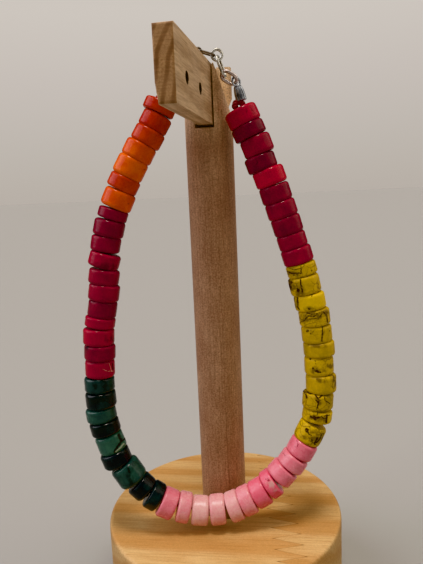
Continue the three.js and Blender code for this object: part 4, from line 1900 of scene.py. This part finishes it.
@dataclass
class Stand:
    """The wooden stand: a round base, a slotted dowel, and a flat arm in the slot."""

    base_radius: float = 25.4
    base_thick: float = 19.0
    bore_deep: float = 12.0
    post_radius: float = 4.76
    post_rise: float = 93.2
    gap: float = 0.3
    arm_wide: float = 3.2
    arm_tall: float = 11.2
    arm_overhang: float = 25.4
    arm_turn: float = 12.0
    worn_wide: float = 0.4
    worn_tall: float = 3.0
    slot_play: float = 0.6
    clear_above: float = 9.0
    pin_radius: float = 0.9
    pin_below: float = 6.35
    pin_from_end: float = 7.0
    pins_apart: float = 9.4
    pin_rim: float = 0.12
    arm_grid: float = 0.2
    rod_rim: float = 0.25
    rod_wall: float = 0.4
    split_top: float = 1.2
    split_foot: float = 4.9
    split_foot_rise: float = 82.5
    split_back: float = -0.3
    notch_tip: float = 3.9
    notch_tip_rise: float = 85.5
    notch_low: float = 82.6
    notch_high: float = 87.2
    sides: int = 192

    def prism(self, outline: Sequence[tuple[float, float]], front: float, back: float) -> Any:
        """Makes a working solid from an outline across X and Z, from front to back in Y."""
        form = extruded([(x, front, z) for x, z in outline], (0, back - front, 0))
        return working_object(as_mesh(form))

    def rod(self, radius: float, low: float, high: float, sides: int, rings: int) -> bpy.types.Mesh:
        """Makes an upright closed rod about Z with softened rims.

        Args:
            radius: the rod's radius, in mm.
            low: the height of its lower end.
            high: the height of its upper end.
            sides: how many sides it has.
            rings: how many rings of corners its wall has.

        Returns:
            The rod's mesh, in mm.
        """
        rim, wall = self.rod_rim, self.rod_wall
        corners = [(0, low), (radius - rim, low), (radius, low + rim)]
        corners += [(radius, z) for z in np.linspace(low + wall, high - wall, rings)]
        corners += [(radius, high - rim), (radius - rim, high), (0, high)]
        return turned_mesh(corners, sides)

    @staticmethod
    def cut(worker: bpy.types.Object, tools: Sequence[bpy.types.Object]) -> None:
        """Cuts a working object with tools.

        Args:
            worker: the working object.
            tools: the working objects to take away from it.
        """
        for tool in tools:
            cut = worker.modifiers.new("cut", "BOOLEAN")
            cut.operation = "DIFFERENCE"
            cut.solver = "EXACT"
            cut.object = tool

    @staticmethod
    def soften(worker: bpy.types.Object, wide: float, segments: int = 3) -> None:
        """Bevels the sharp edges of a working object.

        Args:
            worker: the working object.
            wide: the bevel's width, in mm.
            segments: how many steps it has.
        """
        bevel = worker.modifiers.new("soften", "BEVEL")
        bevel.width = wide
        bevel.segments = segments
        bevel.limit_method = "ANGLE"
        bevel.angle_limit = math.radians(40)

    @property
    def clear_of_post(self) -> float:
        """A distance from the axis that is well outside the post."""
        return self.post_radius + 1

    @staticmethod
    def finish(mesh: bpy.types.Mesh, wood: WoodFinish, name: str, slot: str, node: str) -> None:
        """Gives a wooden part its finish and makes it a piece.

        Args:
            mesh: the part's mesh, in metres.
            wood: its finish.
            name: the piece's name.
            slot: the record's material slot, which is not used.
            node: the CAD node that it stands for.
        """
        mesh.materials.clear()
        mesh.materials.append(wood.material())
        make_piece(name, mesh, [node])

    def build_base(self) -> None:
        """Builds the round base with its softened rims and the bore for the post."""
        radius, thick = self.base_radius, self.base_thick
        bore = self.post_radius + self.gap
        corners = [
            (0.0, 0.0),
            (radius, 0.0),
            (radius, thick),
            (bore, thick),
            (bore, thick - self.bore_deep),
            (0.0, thick - self.bore_deep),
        ]
        profile = rounded_profile(corners, (0, 0.9, 0.9, 0.3, 0, 0), 6)
        mesh = turned_mesh(profile, self.sides)
        mesh.transform(Matrix.Scale(MM, 4))
        wood = WoodFinish(
            "planed_pine", "#cca975", "#b07c44", "#9d6e38", "#b98e58", (1, -0.13, 0), 5.2,
            ring_strength=0.7, end_strength=0.5, sway=0.9, speckle=0.08, pith=(0.02, -0.03, 0),
            joint=FingerJoint(),
        )
        self.finish(mesh, wood, "base_disc", "pine", "base")

    def slot_tool(self, top: float) -> bpy.types.Object:
        """Makes the tool that saws the slot for the arm across the post.

        Args:
            top: the height of the post's top.

        Returns:
            The working object.
        """
        half = self.arm_wide / 2 + self.gap
        low, high = top - (self.arm_tall + self.slot_play), top + self.clear_above
        outline = [(-half, low), (half, low), (half, high), (-half, high)]
        slot = self.prism(outline, -2 * self.clear_of_post, 2 * self.clear_of_post)
        slot.data.transform(Matrix.Rotation(-math.radians(self.arm_turn), 4, "Z"))
        return slot

    def split_tool(self, top: float) -> bpy.types.Object:
        """Makes the tool that splits away the front of one cheek, on a slope.

        Args:
            top: the height of the post's top.

        Returns:
            The working object.
        """
        past, foot = self.clear_of_post, self.base_thick + self.split_foot_rise
        slope = (self.split_foot - self.split_top) / (self.post_rise - self.split_foot_rise)
        cheek = [(self.split_top - slope, top + 1), (self.split_foot, foot)]
        return self.prism([*cheek, (past, foot), (past, top + 1)], -past, self.split_back)

    def notch_tool(self) -> bpy.types.Object:
        """Makes the tool that cuts the wedge-shaped notch into one side of the post.

        Returns:
            The working object.
        """
        past, tip = self.clear_of_post, self.notch_tip_rise
        spread = (past - self.notch_tip) / (self.post_radius - self.notch_tip)
        rises = [tip + (rise - tip) * spread for rise in (self.notch_low, self.notch_high)]
        outline = [(self.notch_tip, tip), (past, rises[0]), (past, rises[1])]
        return self.prism([(x, self.base_thick + rise) for x, rise in outline], -past, past)

    def build_post(self) -> None:
        """Builds the dowel with its slot, its split cheek and its notch."""
        foot = self.base_thick - self.bore_deep + self.gap
        top = self.base_thick + self.post_rise
        worker = working_object(self.rod(self.post_radius, foot, top, 96, 40))
        tools = [self.slot_tool(top), self.split_tool(top), self.notch_tool()]
        self.cut(worker, tools)
        self.soften(worker, 0.12)
        mesh = settled(worker, *tools)
        mesh.transform(Matrix.Scale(MM, 4))
        mesh.shade_smooth()
        # The post's top is paler: fresh split wood on the cheeks, also brightened as painted light.
        wood = WoodFinish(
            "turned_dowel", "#b69174", "#9c7456", "#7a5843", "#926a52", (0, 0, 1), 6.0,
            fibre_mm=0.3, ring_strength=0.2, fresh_and_lit="#f2d4ac", fresh_above=101,
            pith=(0.012, 0.02, 0), line=GrainLine(1.0, 19, 84),
        )
        self.finish(mesh, wood, "post_dowel", "dowel", "post")

    def chart_hole_shade(self, mesh: bpy.types.Mesh, holes: Sequence[tuple[float, float]]) -> None:
        """Charts the insides of the arm's pin holes, which lie along X, where shade is painted.

        Args:
            mesh: the arm's mesh, in mm.
            holes: the middle of each hole across Y and Z.
        """
        places = vertex_places(mesh)
        level = np.zeros(len(places))
        # Painted shade: every vertex inside a hole gets the full level.
        for y, z in holes:
            away = np.hypot(places[:, 1] - y, places[:, 2] - z)
            level[away < self.pin_radius + self.pin_rim] = 1
        write_levels(mesh, "painted_hole_shade", level)

    def pin_tool(self, along: float) -> bpy.types.Object:
        """Makes the tool that drills one pin hole through the arm.

        Args:
            along: where the hole is along Y, in mm.

        Returns:
            The working object.
        """
        reach = 2 * self.arm_wide
        pin = working_object(self.rod(self.pin_radius, -reach, reach, 32, 2))
        pin.data.transform(Matrix.Rotation(math.pi / 2, 4, "Y"))
        pin.data.transform(Matrix.Translation((0, along, self.arm_tall - self.pin_below)))
        return pin

    def build_arm(self) -> None:
        """Builds the flat arm: rough-sawn, its edges worn and its pin holes open."""
        half = self.arm_wide / 2
        front = -(self.post_radius + self.arm_overhang)
        outline = [
            (half, 0),
            (half, self.arm_tall),
            (-half, self.arm_tall),
            (-half, self.worn_tall),
            (self.worn_wide - half, 0),
        ]
        worker = self.prism(outline, front, self.post_radius)
        pins = [front + self.pin_from_end + i * self.pins_apart for i in range(2)]
        tools = [self.pin_tool(along) for along in pins]
        self.cut(worker, tools)
        remesh = worker.modifiers.new("grid", "REMESH")
        remesh.mode = "VOXEL"
        remesh.voxel_size = self.arm_grid
        mesh = settled(worker, *tools)
        self.chart_hole_shade(mesh, [(y, self.arm_tall - self.pin_below) for y in pins])
        turn = Matrix.Rotation(-math.radians(self.arm_turn), 4, "Z")
        lift = Matrix.Translation((0, 0, self.base_thick + self.post_rise - self.arm_tall))
        mesh.transform(Matrix.Scale(MM, 4) @ lift @ turn)
        mesh.shade_smooth()
        lengthways = turn @ Vector((0, 1, 0))
        wood = WoodFinish(
            "sawn_basswood", "#ccae8a", "#7e5b38", "#846850", "#bca286", tuple(lengthways), 1.7,
            fibre_mm=0.35, ring_strength=0.42, ring_low=0.35, end_strength=0.95,
            end_tint="#dccbb8", fibre_share=0.7, saw=0.7, speckle=0.18, rough=0.65,
            bump_mm=0.07, pith=(0.0042, -0.1007, 0),
        )
        self.finish(mesh, wood, "arm_board", "arm_wood", "arm")

    def build(self) -> None:
        """Builds the three wooden parts."""
        self.build_base()
        self.build_post()
        self.build_arm()


# ---------------------------------------------------------------------------- studio


@dataclass(frozen=True)
class Glow:
    """A broad, far light: its direction as angles, its width in degrees, its strength, its tone."""

    name: str
    raised: float
    round_to_left: float
    wide: float
    strength: float
    tone: str


@dataclass
class Studio:
    """A plain pale floor and surround, soft lights, and the camera."""

    pitch: float = 9.37
    roll: float = -2.48
    lens: float = 34.07
    sensor: float = 36.0
    floor_size: float = 40.0
    pale: str = "#a1a09c"
    low_backdrop: str = "#beb6ae"
    high_backdrop: str = "#d2cbc4"
    high_at: float = 0.3
    surround: str = "#bfb7b0"
    surround_strength: float = 0.3
    glows: tuple[Glow, ...] = (
        Glow("sky", 78, 0, 14, 2.0, "#fff6ec"),
        Glow("window", 35, 83, 60, 2.2, "#fbf7ff"),
        Glow("doorway", 35, -88, 60, 1.2, "#fff4e8"),
    )

    def build_floor(self) -> None:
        """Lays the floor, which isn't part of the object."""
        half = self.floor_size / 2
        mesh = bpy.data.meshes.new("floor")
        corners = [(-half, -half, 0), (half, -half, 0), (half, half, 0), (-half, half, 0)]
        mesh.from_pydata(corners, [], [(0, 1, 2, 3)])
        material = bpy.data.materials.new("matt_card")
        material.use_nodes = True
        shader = material.node_tree.nodes["Principled BSDF"]
        shader.inputs["Base Color"].default_value = linear(self.pale)
        shader.inputs["Roughness"].default_value = 1.0
        shader.inputs["Specular IOR Level"].default_value = 0.0
        mesh.materials.append(material)
        floor = bpy.data.objects.new("floor", mesh)
        bpy.context.scene.collection.objects.link(floor)

    def build_surround(self) -> None:
        """Sets the pale surround, lighter higher up, and the dimmer even light that it gives."""
        world = bpy.data.worlds.new("surround")
        world.use_nodes = True
        tree = world.node_tree
        tree.nodes.clear()
        way = add_node(tree, "ShaderNodeTexCoord").outputs["Generated"]
        rise = add_node(tree, "ShaderNodeSeparateXYZ", {0: way}).outputs[2]
        share = ranged(tree, rise, 0, self.high_at)
        sheet = mixed(tree, share, linear(self.low_backdrop), linear(self.high_backdrop))
        seen = add_node(tree, "ShaderNodeBackground", {"Color": sheet})
        lit = add_node(
            tree,
            "ShaderNodeBackground",
            {"Color": linear(self.surround), "Strength": self.surround_strength},
        )
        path = add_node(tree, "ShaderNodeLightPath")
        mix = add_node(
            tree,
            "ShaderNodeMixShader",
            {0: path.outputs["Is Camera Ray"], 1: lit.outputs[0], 2: seen.outputs[0]},
        )
        add_node(tree, "ShaderNodeOutputWorld", {"Surface": mix.outputs[0]})
        bpy.context.scene.world = world

    def build_lights(self) -> None:
        """Hangs the light from above and the two side lights."""
        for glow in self.glows:
            lamp = bpy.data.lights.new(glow.name, "SUN")
            lamp.energy = glow.strength
            lamp.angle = math.radians(glow.wide)
            lamp.color = linear(glow.tone)[:3]
            raised, left = math.radians(glow.raised), math.radians(glow.round_to_left)
            source = Vector((-math.sin(left), -math.cos(left), math.tan(raised)))
            holder = bpy.data.objects.new(glow.name, lamp)
            holder.rotation_euler = source.to_track_quat("Z", "Y").to_euler()
            bpy.context.scene.collection.objects.link(holder)

    def build_camera(self) -> None:
        """Sets the camera at the viewing angle."""
        data = bpy.data.cameras.new("camera")
        data.lens = self.lens
        data.sensor_width = self.sensor
        data.clip_start, data.clip_end = 0.005, 50
        camera = bpy.data.objects.new("camera", data)
        camera.location = Vector(VIEWPOINT) * MM
        tilt = Matrix.Rotation(math.radians(90 - self.pitch), 4, "X")
        roll = Matrix.Rotation(math.radians(self.roll), 4, "Z")
        camera.rotation_euler = (tilt @ roll).to_euler()
        bpy.context.scene.collection.objects.link(camera)
        bpy.context.scene.camera = camera

    def build(self) -> None:
        """Builds the camera, the floor, the surround and the lights."""
        bpy.context.scene.view_settings.view_transform = "Khronos PBR Neutral"
        self.build_camera()
        self.build_floor()
        self.build_surround()
        self.build_lights()


def main() -> None:
    """Builds the studio, the strand, the findings and the stand."""
    Studio().build()
    Stand().build()
    thread = Strand().build()
    Findings().build(thread)


if __name__ == "__main__":
    main()
